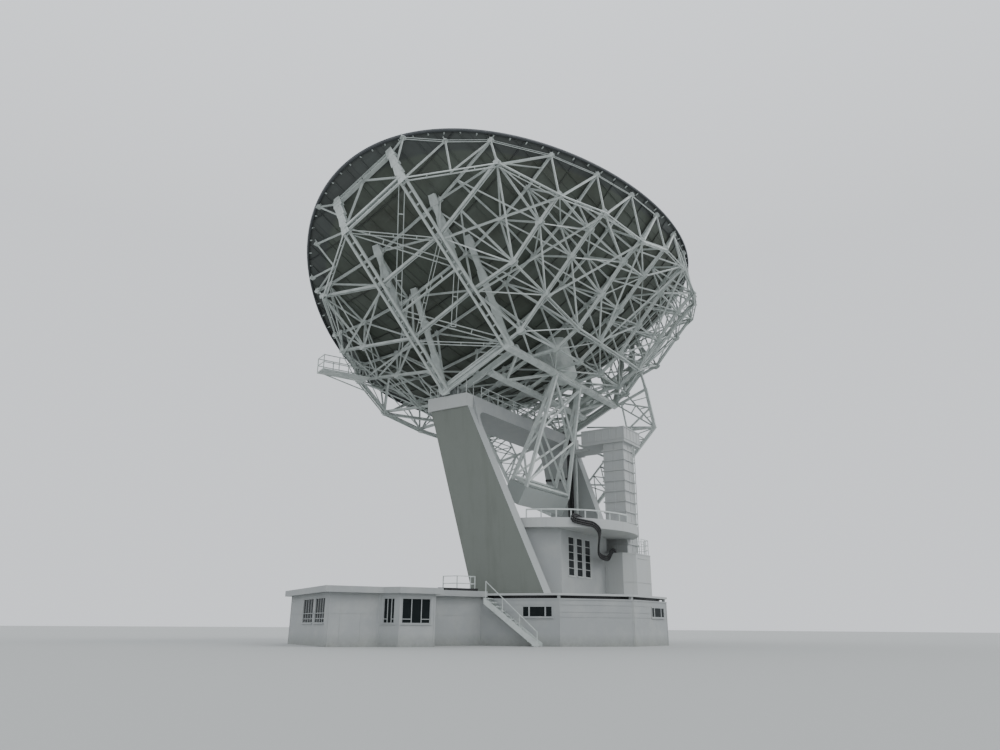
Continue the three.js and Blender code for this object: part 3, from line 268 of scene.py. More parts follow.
def tower_look(name, amount):
    """The towers' flat sides are a darker grey-green than their edges."""
    look = masonry(name, (0.5, 0.515, 0.505), 0.3)
    side = look.sums("ABSOLUTE", look.part(look.normal, 0), 0)
    height = look.part(look.coords, 2)
    shaft = look.sums("LESS_THAN", height, CAP_FOOT)
    flat = look.sums("MULTIPLY", look.sums("GREATER_THAN", side, 0.9), shaft)
    look.tint(shaft, (0.4, 0.42, 0.415), 1.0)
    look.tint(flat, (0.165, 0.183, 0.157), amount)
    stain = look.noise(1.0, 6, 0.65, look.place(scale=(1.1, 1.1, 0.1)))
    stained = look.sums("MULTIPLY", flat, look.ramp(stain, 0.5, 0.75))
    look.tint(stained, (0.12, 0.133, 0.112), 0.5 * amount)
    return look


for name, amount in (("tower_left", 0.85), ("tower_right", 0.2)):
    nodes[name].data.materials[0] = tower_look(f"{name}_masonry", amount).mat

# Meshes made of members

X_WAY = Vector((1, 0, 0))
Z_WAY = Vector((0, 0, 1))


def rect(width, depth):
    w, d = width / 2, depth / 2
    return [(-w, -d), (w, -d), (w, d), (-w, d)]


def angle(size, thick=0.014):
    """Outline of an angle section, its corner at the middle line."""
    return [(0, 0), (size, 0), (size, thick), (thick, thick), (thick, size), (0, size)]


def beam(width, depth, thick=0.022):
    """Outline of an H section."""
    w, d, t = width / 2, depth / 2, thick / 2
    half = [(-w, -d), (w, -d), (w, -d + 2 * t), (t, -d + 2 * t), (t, d - 2 * t), (w, d - 2 * t)]
    return half + [(-u, -v) for u, v in half]


def round_bar(radius, sides):
    turns = [2 * pi * i / sides for i in range(sides)]
    return [(radius * cos(t), radius * sin(t)) for t in turns]


def polar(radius, turn, z=0.0):
    return Vector((radius * cos(turn), radius * sin(turn), z))


def add_object(name, data):
    obj = bpy.data.objects.new(name, data)
    bpy.context.scene.collection.objects.link(obj)
    return obj


def new_piece(name, verts, faces, look, body):
    """A mesh object with its faces turned outwards, on its body."""
    mesh = bpy.data.meshes.new(name)
    mesh.from_pydata([tuple(v) for v in verts], [], faces)
    shape = bmesh.new()
    shape.from_mesh(mesh)
    bmesh.ops.recalc_face_normals(shape, faces=shape.faces)
    shape.to_mesh(mesh)
    shape.free()
    mesh.materials.append(LOOKS[look].mat)
    piece = add_object(name, mesh)
    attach(piece, body)
    return piece


class Steel:
    """Gathers members, plates and pipes into one mesh."""

    def __init__(self):
        self.verts = []
        self.faces = []

    def prism(self, *rings):
        start, count = len(self.verts), len(rings[0])
        for ring in rings:
            self.verts += ring
        last = start + (len(rings) - 1) * count
        self.faces.append(tuple(range(start + count - 1, start - 1, -1)))
        self.faces.append(tuple(range(last, last + count)))
        for low in range(start, last, count):
            for i in range(count):
                j = (i + 1) % count
                self.faces.append((low + i, low + j, low + count + j, low + count + i))

    def member(self, a, b, outline, across=X_WAY, reach=0.0):
        along = (b - a).normalized()
        side = (across - along * across.dot(along)).normalized()
        up = along.cross(side)
        ring = [side * u + up * v for u, v in outline]
        a, b = a - along * reach, b + along * reach
        self.prism([a + r for r in ring], [b + r for r in ring])

    def twin(self, a, b, apart, size, step, across=X_WAY):
        """Two flat members side by side with battens between them."""
        along = (b - a).normalized()
        side = (across - along * across.dot(along)).normalized() * (apart / 2)
        for sign in (-1, 1):
            self.member(a + side * sign, b + side * sign, rect(size * 0.45, size), across)
        count = max(2, round((b - a).length / step))
        for i in range(count + 1):
            at = a.lerp(b, i / count)
            self.member(at - side, at + side, rect(size * 0.6, 0.03), along)

    def twins(self, points, *sizes):
        for a, b in zip(points, points[1:]):
            self.twin(a, b, *sizes)

    def zigzag(self, points, outline, across=X_WAY):
        for a, b in zip(points, points[1:]):
            self.member(a, b, outline, across)

    def plate(self, centre, normal, up, outline, thick):
        """A flat plate: the outline's second number runs along `up`."""
        normal = normal.normalized()
        up = (up - normal * up.dot(normal)).normalized()
        right = up.cross(normal)
        flat = [centre + right * u + up * v for u, v in outline]
        self.prism([p - normal * thick / 2 for p in flat], [p + normal * thick / 2 for p in flat])

    def bolts(self, centre, normal, up, places, radius=0.028, height=0.03):
        right = up.cross(normal)
        for u, v in places:
            foot = centre + right * u + up * v
            self.member(foot, foot + normal * height, round_bar(radius, 6), up)

    def plates(self, centre, normal, up, outline, off, thick, holes=()):
        """Plates on both faces of a member, bolted where there are holes."""
        for way in (-normal, normal):
            self.plate(centre + way * off, way, up, outline, thick)
            self.bolts(centre + way * off, way, up, holes)

    def pipe(self, points, radius, sides):
        rings = []
        for i, p in enumerate(points):
            along = (points[min(i + 1, len(points) - 1)] - points[max(i - 1, 0)]).normalized()
            guide = Z_WAY if abs(along.z) < 0.9 else X_WAY
            side = along.cross(guide).normalized()
            up = along.cross(side)
            rings.append([p + side * u + up * v for u, v in round_bar(radius, sides)])
        self.prism(*rings)

    def bar(self, a, b, radius):
        """A thin round bar, as in a rail."""
        self.member(a, b, round_bar(radius, 6))

    def made(self, name, body="dish", slot_name="lattice_steel", look=None):
        return new_piece(name, self.verts, self.faces, look or slot_name, body)


# The bowl's lattice: rear joints of each rib as (y, w), from the far rim and towards the near rim

END_X = 18.1
REAR_W = -2.7
SKIN = 0.06
FRONT_DROP, INTO_SKIN = 0.26, -0.03
RIM_INSET = 0.32
BEHIND = 0.225
GUSSET = [(-0.3, -0.08), (-0.15, -0.2), (0.15, -0.2), (0.3, -0.08), (0.2, 0.2), (-0.2, 0.2)]
SMALL_GUSSET = [(-0.22, -0.06), (-0.1, -0.16), (0.1, -0.16), (0.22, -0.06), (0.15, 0.16), (-0.15, 0.16)]
EDGE_GUSSET = [(-0.3, -0.05), (-0.15, -0.1), (0.15, -0.1), (0.3, -0.05), (0.2, 0.12), (-0.2, 0.12)]
BOLT_ROWS = [(u, v) for u in (-0.17, -0.06, 0.06, 0.17) for v in (-0.1, 0.1)]
BACK = {
    1.64: [(-11.15, 0), (-8.85, -0.75), (-6.25, -1.85), (-3.9, -2.95), (-1.9, -3.35), (0, REAR_W)],
    4.92: [(-10.48, -0.5), (-8.73, -1.01), (-6.37, -2.09), (-3.9, -3.05), (-1.9, -3.4), (0, REAR_W)],
    8.2: [(-9.87, 0.67), (-8.49, 0.25), (-6.62, -0.52), (-3.94, -1.61), (-1.33, -2.7), (0, REAR_W)],
    11.48: [(-8.58, 1.33), (-8.58, 1.33), (-6.69, 0.58), (-4.02, -0.55), (-0.8, -0.25)],
    14.76: [(-7.0, 3.5), (-7.0, 3.5), (-7.0, 3.5), (-3.6, 2.56), (-1.6, 2.0)],
}
FRONT = {
    1.64: [(7.8, -1.2), (9.75, -0.67), (12.3, 0.25)],
    4.92: [(7.8, -1.2), (9.6, -0.384), (12.8, 1.36)],
    8.2: [(8.49, 0.73), (10.17, 1.71), (11.85, 2.69)],
    11.48: [(4.4, -0.26), (8.28, 1.93), (10.03, 2.89)],
    14.76: [(3.4, 2.05), (7.84, 4.75), (7.84, 4.75)],
}
RIB_X = sorted(BACK)
TOWER_X = RIB_X[2]
AXIS = (5.4, -2.66)
KNEE = [(0, REAR_W), (2.4, REAR_W), (4.4, -0.8), (6.4, -0.65), (7.8, -1.365)]
NO_WEB = (2.4, 6.4)
CHORD = {
    1.64: [*BACK[1.64][:5], *KNEE, FRONT[1.64][2]],
    4.92: [*BACK[4.92][:5], *KNEE, FRONT[4.92][2]],
    8.2: [*BACK[8.2], AXIS, (5.83, -0.85), FRONT[8.2][0], FRONT[8.2][2]],
    11.48: [*BACK[11.48][1:], *FRONT[11.48]],
    14.76: [(-7.0, 3.5), (-1.6, 2.0), (3.4, 2.05), (7.84, 4.75)],
}
SIDES = {"right": 1, "left": -1}
THIN, WEB, TIE = angle(0.09), beam(0.1, 0.1), beam(0.11, 0.11)
REAR_BAR, FRONT_BAR = beam(0.1, 0.13), beam(0.08, 0.12)


def at(x, joint):
    return bowl(x, *joint)


def skin(x, y, drop):
    return bowl(x, y, dish_w(x, y) - SKIN - drop)


def front_chord(x, y):
    return skin(x, y, FRONT_DROP)


def edge_y(x, side):
    return CENTRE_Y + side * HALF_Y * sqrt(max(0, 1 - (x / HALF_X) ** 2))


def lean(first, second):
    """Where a rib's front joint lies between two rear joints."""
    return first + 0.8 * (second - first)


def rim_joint(x, side):
    return front_chord(x, edge_y(x, side) - side * RIM_INSET)


def rib_frame(x, side):
    """One rib: a rear chord of paired bars with battens, a front chord, thin webs and gussets."""
    steel = Steel()
    x *= side
    chord = CHORD[abs(x)]
    rear = [at(x, joint) for joint in chord]
    webs = [joint for joint in chord if joint[0] not in NO_WEB]
    inner = [lean(a[0], b[0]) for a, b in zip(webs, webs[1:])]
    ys = [edge_y(x, -1) + RIM_INSET, *inner, edge_y(x, 1) - RIM_INSET]
    front = [front_chord(x, y) for y in ys]
    steel.twins(rear, 0.17, 0.16, 1.1)
    steel.zigzag(front, beam(0.13, 0.15))
    for i, joint in enumerate(webs):
        foot = at(x, joint)
        steel.member(front[i], foot, WEB)
        steel.member(foot, front[i + 1], WEB)
    for y, top in zip(ys, front):
        steel.member(top, skin(x, y, INTO_SKIN), beam(0.16, 0.16))
        steel.plates(top, X_WAY, -BOWL_W, SMALL_GUSSET, 0.08, 0.02)
    for joint, foot in zip(chord, rear):
        outline = SMALL_GUSSET if joint in (chord[0], chord[-1]) else GUSSET
        steel.plates(foot, X_WAY, BOWL_W, outline, 0.125, 0.02, BOLT_ROWS)
    if abs(x) == TOWER_X:
        pin = bowl(x, *AXIS)
        steel.member(bowl(x, 0, REAR_W), pin, beam(0.18, 0.5))
        for half, radius in ((0.09, 0.48), (0.12, 0.36)):
            steel.member(pin - X_WAY * half, pin + X_WAY * half, round_bar(radius, 32), BOWL_W)
        steel.member(bowl(6.7 * side, *AXIS), bowl(8.42 * side, *AXIS), round_bar(0.26, 32), BOWL_W)
    return steel


def ribs():
    for word, side in SIDES.items():
        for i, x in enumerate(RIB_X):
            piece = rib_frame(x, side).made(f"rib_frame_{word}_{i + 1}")
            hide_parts(f"rib_{word}_{i + 1}")


def behind(x, joint):
    return bowl(x, joint[0], joint[1] - BEHIND)


def outer_joint(x, end):
    return behind(x, CHORD[abs(x)][0 if end < 0 else -1])


def edge_webs(steel, xs, end):
    """From each outer joint up to the edge of the next rib, given from the wing inwards."""
    for x, next_x in zip(xs, xs[1:]):
        steel.member(outer_joint(x, end), rim_joint(next_x, end), beam(0.12, 0.12), reach=0.05)


# Joints of the inner chord behind the ribs, by the end of the bowl
MIDDLE = {
    -1: [BACK[x][3] for x in RIB_X[:3]],
    1: [FRONT[1.64][1], FRONT[4.92][1], (9.3, 1.2)],
}


def edge_lattice(end, name):
    """Chords behind the ribs of the tower zone, with their lacing and the webs to the rim."""
    steel = Steel()
    xs = [-x for x in reversed(RIB_X[:3])] + RIB_X[:3]
    outer = [outer_joint(x, end) for x in xs]
    middle = MIDDLE[end]
    inner = [behind(x, middle[RIB_X.index(abs(x))]) for x in xs]
    steel.twins(outer, 0.14, 0.13, 1.1, BOWL_Y)
    steel.twins(inner, 0.2, 0.1, 1.3, BOWL_Y)
    for i in range(1, len(xs)):
        odd = (i - 1) % 2 == 1
        a, b = (outer[i - 1], inner[i]) if odd else (inner[i - 1], outer[i])
        steel.member(a, b, TIE, BOWL_Y)
    half = RIB_X[:3][::-1]
    edge_webs(steel, half, end)
    edge_webs(steel, [-x for x in half], end)
    edge_webs(steel, [-RIB_X[0], RIB_X[0]], end)
    for foot in outer:
        steel.plate(foot - BOWL_W * 0.07, -BOWL_W, BOWL_Y, EDGE_GUSSET, 0.02)
    piece = steel.made(f"{name}_members")
    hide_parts(name)


END_Y, END_LOW = 2.4, 4.3


def double_chord(steel, points):
    for sign in (-1, 1):
        steel.zigzag([p + BOWL_Y * 0.2 * sign for p in points], beam(0.15, 0.18), BOWL_Y)
    for a, b in zip(points, points[1:]):
        count = round((b - a).length / 0.9)
        for i in range(count + 1):
            spot = a.lerp(b, i / count)
            steel.member(spot - BOWL_Y * 0.2, spot + BOWL_Y * 0.2, rect(0.12, 0.03), BOWL_W)


EDGE_NODES = {-1: [(18.21, -3.59), (16.61, -5.33)], 1: [(18.57, 3.34), (17.14, 5.34), (15.66, 7.55)]}


def edge_chain(steel, side, end):
    """Joints behind the bowl's edge beyond the last rib, with two thin bars from joint to joint."""
    places = [(x * side, y) for x, y in EDGE_NODES[end]]
    joints = [skin(x, y, 0.38) for x, y in places]
    for (x, y), joint in zip(places, joints):
        steel.member(joint, skin(x, y, INTO_SKIN), rect(0.06, 0.06))
        steel.plate(joint, BOWL_W, BOWL_Y, SMALL_GUSSET, 0.03)
    chain = joints + [rim_joint(x * side, end) for x in RIB_X[::-1]]
    if end < 0:
        for a, b in zip(chain, chain[1:]):
            for shift in (-0.09, 0.09):
                steel.member(a + BOWL_W * shift, b + BOWL_W * shift, rect(0.03, 0.03))
    return joints


def wing_frame(word, side):
    """Double chords out to the end frame, with their bracing, on one side."""
    steel = Steel()
    end_x = END_X * side

    def along(first, last):
        points = []
        for x in (*RIB_X[2:], END_X):
            t = (x - TOWER_X) / (END_X - TOWER_X)
            points.append(behind(x * side, [a + t * (b - a) for a, b in zip(first, last)]))
        return points

    chord_a = along((0, REAR_W), (-END_Y, END_LOW))
    chord_b = along((AXIS[0], REAR_W), (END_Y, END_LOW))
    double_chord(steel, chord_a)
    double_chord(steel, chord_b)
    tops = {y: front_chord(end_x, y) for y in (-END_Y, 0, END_Y)}
    lows = {y: bowl(end_x, y, END_LOW) for y in (-END_Y, END_Y)}
    steel.member(tops[-END_Y], tops[END_Y], beam(0.3, 0.28), reach=0.15)
    steel.twin(lows[-END_Y], lows[END_Y], 0.24, 0.14, 0.7, X_WAY)
    for y in (-END_Y, END_Y):
        steel.member(lows[y], tops[y], beam(0.36, 0.22), BOWL_Y, 0.1)
        steel.member(lows[y], tops[0], WEB)
        for t in (0.12, 0.88):
            steel.plate(lows[y].lerp(tops[y], t), X_WAY, BOWL_W, SMALL_GUSSET, 0.26)
    for y, top in tops.items():
        steel.member(top, skin(end_x, y, INTO_SKIN), beam(0.18, 0.18))
    for end, chord in ((-1, chord_a), (1, chord_b)):
        xs = [x * side for x in RIB_X[2:]]
        outer = [outer_joint(x, end) for x in xs] + [chord[3]]
        steel.twins(outer, 0.22, 0.1, 1.3, BOWL_Y)
        edge_webs(steel, xs[::-1], end)
        middle = outer[2].lerp(outer[3], 0.5)
        edge = edge_chain(steel, side, end)
        top, low = tops[end * END_Y], lows[end * END_Y]
        webs = [(middle, edge[1]), (edge[1], outer[3]), (rim_joint(xs[2], end), middle)]
        webs += [(edge[0], top), (edge[0], low.lerp(top, 0.5))]
        if end > 0:
            webs.append((edge[2], middle))
        for a, b in webs:
            steel.member(a, b, beam(0.09, 0.09), reach=0.03)
        for a, b in zip(chord[1:3], outer):
            steel.member(a, b, TIE, BOWL_Y)
    for a, b in ((chord_a[0], chord_b[1]), (chord_b[1], chord_a[2]), (chord_a[2], chord_b[3])):
        steel.twin(a, b, 0.2, 0.08, 1.6, BOWL_Y)
    piece = steel.made(f"wing_members_{word}")
    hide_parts(f"wing_bracing_{word}")


AROUND = 240


def ellipse_ring(k, out=0.0):
    for i in range(AROUND):
        turn = 2 * pi * i / AROUND
        x = (k * HALF_X + out) * cos(turn)
        yield x, k * CENTRE_Y + (k * HALF_Y + out) * sin(turn), turn


def smooth_piece(name, verts, faces, look, node):
    """A smoothly shaded piece of the dish that stands for a node."""
    piece = new_piece(name, verts, faces, look, "dish")
    for face in piece.data.polygons:
        face.use_smooth = True
    piece.data.set_sharp_from_angle(angle=radians(35))
    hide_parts(node)


def reflector_sheets():
    """The bowl's sheet as one smooth shell."""
    rings = 30
    verts = [bowl(0, 0, -SKIN), bowl(0, 0, 0)]
    faces = []
    for drop in (SKIN, 0.0):
        for r in range(1, rings + 1):
            verts += [bowl(x, y, dish_w(x, y) - drop) for x, y, _ in ellipse_ring(r / rings)]

    def spot(layer, ring, i):
        return 2 + (layer * rings + ring) * AROUND + i % AROUND

    for i in range(AROUND):
        for layer in (0, 1):
            faces.append((layer, spot(layer, 0, i), spot(layer, 0, i + 1)))
            for r in range(rings - 1):
                quad = [(r, i), (r + 1, i), (r + 1, i + 1), (r, i + 1)]
                faces.append(tuple(spot(layer, ring, j) for ring, j in quad))
        rim = [(0, i), (1, i), (1, i + 1), (0, i + 1)]
        faces.append(tuple(spot(layer, rings - 1, j) for layer, j in rim))
    smooth_piece("reflector_sheets", verts, faces, "reflector_sheet", "reflector_skin")


RIM_PROFILE = [
    (0.002, 0.05), (0.05, 0.058), (0.09, 0.05), (0.115, 0.02),
    (0.118, -0.13), (0.09, -0.16), (0.07, -0.19), (0.002, -0.195),
]


def rim_lip():
    """The rim's rolled edge as one smooth ring."""
    verts = []
    for out, rise in RIM_PROFILE:
        for x, y, turn in ellipse_ring(1.0, out):
            inner_x, inner_y = HALF_X * cos(turn), CENTRE_Y + HALF_Y * sin(turn)
            verts.append(bowl(x, y, dish_w(inner_x, inner_y) + rise))
    count = len(RIM_PROFILE)
    faces = []
    for p in range(count):
        for i in range(AROUND):
            corners = [(p, i), (p, i + 1), (p + 1, i + 1), (p + 1, i)]
            faces.append(tuple((q % count) * AROUND + j % AROUND for q, j in corners))
    smooth_piece("rim_lip", verts, faces, "rim_steel", "rim_band")


def rib_bays():
    """Pairs of neighbouring ribs, inner one first: the left side's, the right side's, the middle."""
    pairs = list(zip(RIB_X, RIB_X[1:]))
    return [(s * a, s * b) for s in (-1, 1) for a, b in pairs] + [(-RIB_X[0], RIB_X[0])]


def cross_bracing():
    """Thin bars between neighbouring ribs, in the rear surface and up to the skin."""
    steel = Steel()
    for inner, outer in rib_bays():
        low, high = BACK[abs(inner)], BACK[abs(outer)]
        rows = min(len(low), len(high))
        for i in range(rows):
            a, b = at(inner, low[i]), at(outer, high[i])
            if i:
                steel.member(a, b, REAR_BAR)
            if i + 1 < rows:
                c, d = at(inner, low[i + 1]), at(outer, high[i + 1])
                steel.member(a if i % 2 else c, d if i % 2 else b, THIN)
                up = front_chord(inner, lean(low[i][0], low[i + 1][0]))
                steel.member(up, b, THIN)
                if high[i + 1] != high[i]:
                    far = front_chord(outer, lean(high[i][0], high[i + 1][0]))
                    steel.member(up, far, FRONT_BAR)
                    steel.member(far, a, THIN)
        low, high = FRONT[abs(inner)], FRONT[abs(outer)]
        for i in range(3):
            a, b = at(inner, low[i]), at(outer, high[i])
            if i < 2:
                steel.member(a, b, REAR_BAR)
                c, d = at(inner, low[i + 1]), at(outer, high[i + 1])
                steel.member(a if i else c, d if i else b, THIN)
            up = front_chord(inner, low[i][0] - 0.7)
            far = front_chord(outer, high[i][0] - 0.7)
            steel.member(up, far, FRONT_BAR)
            steel.member(up, b, THIN)
            steel.member(far, a, THIN)
    return steel.made("cross_bracing")


def skin_purlins():
    """Small bars that carry the sheets: lines across the bowl and shorter lines between them."""
    steel = Steel()
    pitch, step, from_rim = 1.1, 1.64, 0.12
    rows, columns = int(HALF_Y // pitch), int(HALF_X // step)
    for row in range(-rows, rows + 1):
        y = CENTRE_Y + row * pitch
        reach = HALF_X * sqrt(1 - ((y - CENTRE_Y) / HALF_Y) ** 2) - from_rim
        pieces = max(2, 2 * round(reach / step))
        points = [skin(reach * (2 * i / pieces - 1), y, 0.05) for i in range(pieces + 1)]
        steel.zigzag(points, rect(0.05, 0.05), BOWL_Y)
    for column in range(-columns, columns + 1):
        x = column * step
        low, high = edge_y(x, -1) + from_rim, edge_y(x, 1) - from_rim
        pieces = max(2, round((high - low) / 1.6))
        points = [skin(x, low + (high - low) * i / pieces, 0.05) for i in range(pieces + 1)]
        steel.zigzag(points, rect(0.05, 0.06))
    return steel.made("skin_purlins", "dish", "reflector_sheet", "reflector_back")


def rim_fittings():
    """Small brackets under the rim, all round the bowl."""
    steel = Steel()
    count = 96
    for i in range(count):
        turn = 2 * pi * (i + 0.5) / count
        out = Vector((cos(turn) / HALF_X, sin(turn) / HALF_Y)).normalized()
        x, y = HALF_X * cos(turn), CENTRE_Y + HALF_Y * sin(turn)
        w = dish_w(x, y)
        x, y = x - out.x * 0.02, y - out.y * 0.02
        foot = bowl(x - out.x * 0.35, y - out.y * 0.35, w - 0.14)
        steel.member(bowl(x, y, w - 0.17), foot, rect(0.05, 0.08), BOWL_W)
    return steel.made("rim_fittings")


# The wing girder's joints on the right side, mirrored to the left: chord A behind, chord B in front

A_CHORD = [(TOWER_X, -0.2, -2.75), (13.1, -1.2, 0.75), (END_X, -2.4, 4.2)]
B_CHORD = [(TOWER_X, 5.4, -2.75), (13.0, 3.9, 1.0), (END_X, 2.4, 4.2)]
A_POSTS = [(11.9, -2.2, 2.8), (15.0, -2.4, 4.4), (END_X, -2.4, 6.5)]
B_POSTS = [(11.55, 3.0, 2.6), (14.95, 2.6, 4.4), (END_X, 2.2, 6.5)]


def mirrored(side, spots):
    return [bowl(side * x, y, w) for x, y, w in spots]


def wing_girder():
    """Heavy posts between the wing's chords and the skin, with bolted plates, and their ties."""
    steel = Steel()
    plate = [(-0.3, -0.36), (0.3, -0.36), (0.22, 0.36), (-0.22, 0.36)]
    holes = [(u, v) for u in (-0.13, 0.13) for v in (-0.24, -0.12, 0.0, 0.12, 0.24)]
    for side in (-1, 1):
        a, b = mirrored(side, A_CHORD), mirrored(side, B_CHORD)
        for feet, heads in ((a, A_POSTS), (b, B_POSTS)):
            for foot, top in zip(feet, mirrored(side, heads)):
                steel.member(foot, top, beam(0.38, 0.2), BOWL_Y)
                along = (top - foot).normalized()
                normal = along.cross(BOWL_Y).normalized()
                for t in (0.0, 0.33, 0.66, 1.0):
                    steel.plates(foot.lerp(top, t), normal, along, plate, 0.11, 0.024, holes)
        for first, second in ((b[2], a[1]), (b[1], a[0]), (a[2], b[1])):
            steel.twin(first, second, 0.34, 0.1, 2.2, BOWL_Y)
        middle = b[1].lerp(a[0], 0.5)
        steel.twin(a[1], middle, 0.3, 0.1, 2.0, BOWL_Y)
        steel.twin(a[1], b[1], 0.42, 0.16, 1.2, BOWL_W)
        steel.twin(a[2], b[2], 0.34, 0.16, 0.9, BOWL_W)
        steel.twin(a[0], b[0], 0.5, 0.2, 1.1, BOWL_W)
    return steel.made("wing_girders")


def near_edge():
    """Second chord and small webs along the rim's near edge."""
    steel = Steel()
    outer = [(-x, FRONT[x][2]) for x in RIB_X[3::-1]]
    outer += [(-x, joint) for x, joint in reversed(outer)]
    shift = BOWL_W * -0.42 + BOWL_Y * -0.3
    for (x0, j0), (x1, j1) in zip(outer, outer[1:]):
        a, b = at(x0, j0), at(x1, j1)
        steel.member(a + shift, b + shift, beam(0.14, 0.16), BOWL_W)
        count = 6
        for i in range(count):
            first, second = a.lerp(b, i / count), a.lerp(b, (i + 1) / count)
            ends = (first, second + shift) if i % 2 else (first + shift, second)
            steel.member(*ends, angle(0.07), BOWL_W)
    return steel.made("near_edge_chord")


# The elevation sector's edge joints as (y, w), from the rear corner to the front
WHEEL = [
    (-2.04, -6.51), (1.58, -7.9), (5.2, -9.3), (9.07, -8.19),
    (11.59, -5.06), (11.71, -1.18), FRONT[TOWER_X][2],
]
WHEEL_BAYS, WHEEL_INNER = 3, 0.72
HUB_JOINTS = [(0, REAR_W), (-1.33, -2.75), (-3.3, -1.65), (-2.94, -3.34), (3.0, -3.2)]


def sector_bars():
    """Bars that gather at the sector's rear corner."""
    steel = Steel()
    corner = at(TOWER_X, WHEEL[0])
    ends = [at(TOWER_X, joint) for joint in HUB_JOINTS]
    inner, middle, rear = ends[0], ends[1], ends[3]
    for end in ends:
        steel.member(corner, end, beam(0.09, 0.12))
    for t in (0.3, 0.55, 0.8):
        steel.member(corner.lerp(rear, t), corner.lerp(middle, t), angle(0.08))
        steel.member(corner.lerp(inner, t), corner.lerp(middle, t + 0.1), angle(0.08))
    return steel.made("sector_bars")


def wheel_spot(joint, reach):
    """A place on the way from the elevation axis to a joint of the sector's edge."""
    return at(TOWER_X, [centre + reach * (value - centre) for value, centre in zip(joint, AXIS)])


def sector_lacing():
    """Thin crossed bars between the edge and the inner chord of the elevation sector."""
    steel = Steel()
    for joint, following in zip(WHEEL, WHEEL[1:]):
        steps = [i / WHEEL_BAYS for i in range(WHEEL_BAYS + 1)]
        outer, inner = [
            [wheel_spot(joint, reach).lerp(wheel_spot(following, reach), t) for t in steps]
            for reach in (1, WHEEL_INNER)
        ]
        for i in range(WHEEL_BAYS):
            steel.member(outer[i], inner[i + 1], THIN)
            steel.member(inner[i], outer[i + 1], THIN)
            steel.member(inner[i], outer[i], THIN)
    return steel.made("sector_lacing")


reflector_sheets()
rim_lip()
ribs()
edge_lattice(-1, "back_bracing")
edge_lattice(1, "front_bracing")
for word, side in SIDES.items():
    wing_frame(word, side)
cross_bracing()
skin_purlins()
rim_fittings()
wing_girder()
near_edge()
sector_bars()
sector_lacing()

# Buildings

ON_FACE = 0.0005  # strips stand this far off the wall that they are on
DRUM_R, DRUM_TURN = 7.8, -2.5
APOTHEM = cos(pi / 10)
DRUM_WALL_TOP = 2.67
SIDE_LENGTH = 2 * DRUM_R * sin(pi / 10)
# Windows of the drum by side: along it from its middle, and upwards
DRUM_WINDOWS = {5: ((0.17, 2.02), (1.595, 2.255)), 7: ((0.05, 1.9), (1.65, 2.3))}
# Painted shade: a dark ring in the slot under the drum's coping, where the slot lies in shade
SLOT_SHADE_RADII, SLOT_SHADE_FOOT, SLOT_SHADE_TALL = (7.3, 7.33), DRUM_WALL_TOP + 0.003, 0.163


def on_side(index, s, t, z):
    """A place on a drum side: s along it, t outwards from its face."""
    turn = radians(DRUM_TURN + 36 * (index + 0.5))
    return polar(DRUM_R * APOTHEM + t, turn) + Vector((-sin(turn), cos(turn), 0)) * s + Z_WAY * z


ANNEX_CORNER = Vector((-17.0, 3.7, 0))
ANNEX_TURN = atan2(-0.468, 0.884)
ANNEX_LENGTH, ANNEX_DEPTH, BAY_FROM, BAY_FRONT, BAY_OUT = 5.72, 8.0, 2.8, 3.6, 0.9
LINK_FRONT, LINK_REAR, ROOF_UNDER, ROOF_TOP = 1.34, 6.13, 2.75, 3.08


def on_annex(s, t, z):
    return ANNEX_CORNER + Matrix.Rotation(ANNEX_TURN, 3, "Z") @ Vector((s, t, 0)) + Z_WAY * z


def wider(span, by):
    return span[0] - by, span[1] + by


def around(middle, width):
    return middle - width / 2, middle + width / 2


class Face:
    """A flat wall face: u runs along it and v upwards, out is how far off it."""

    def __init__(self, start, end):
        self.start = start
        self.way = (end - start).normalized()
        self.out = self.way.cross(Z_WAY)

    def spot(self, u, v, out):
        return self.start + self.way * u + Z_WAY * v + self.out * out

    def strip(self, steel, u, v, out):
        """A flat strip over u and v: `out` is how far it stands out, or its two faces' distances."""
        out = out if isinstance(out, tuple) else (ON_FACE, out)
        corners = [(u[0], v[0]), (u[1], v[0]), (u[1], v[1]), (u[0], v[1])]
        steel.prism(*([self.spot(a, b, off) for a, b in corners] for off in out))

    def window(self, steel, u, v, lights, transoms, out, edge, bar):
        """Frame, mullions at the fractions `lights`, and transoms as (height, from, to)."""
        pieces = [((u[0], u[0] + edge), v, 0), ((u[1] - edge, u[1]), v, 0)]
        inner_u, inner_v = wider(u, -edge), wider(v, -edge)
        pieces += [(inner_u, (v[0], v[0] + edge), 0), (inner_u, (v[1] - edge, v[1]), 0)]
        width = u[1] - u[0]
        pieces += [(around(u[0] + part * width, bar), inner_v, 0.01) for part in lights]
        for height, first, last in transoms:
            pieces.append(((u[0] + first * width, u[0] + last * width), around(height, 0.04), 0.015))
        for across, upwards, inset in pieces:
            self.strip(steel, across, upwards, (out[0] + inset, out[1] - inset))

    def glazed(self, paint, panes, u, v, lights, transoms=(), out=(-0.09, -0.02), edge=0.05, bar=0.045):
        """A window, with its glass 20 mm in front of the frame's rear face."""
        self.window(paint, u, v, lights, transoms, out, edge, bar)
        inset = (out[0] + 0.02, out[0] + 0.028)
        self.strip(panes, wider(u, -edge / 2), wider(v, -edge / 2), inset)

    def sill(self, paint, u, top, out=(-0.1, 0.05), by=0.05):
        self.strip(paint, wider(u, by), (top - 0.05, top), out)


def drum_face(index):
    return Face(on_side(index, -SIDE_LENGTH / 2, 0, 0), on_side(index, SIDE_LENGTH / 2, 0, 0))


def from_corner(span):
    """A span along a drum side, given from its middle, as one from its first corner."""
    return tuple(SIDE_LENGTH / 2 + u for u in span)


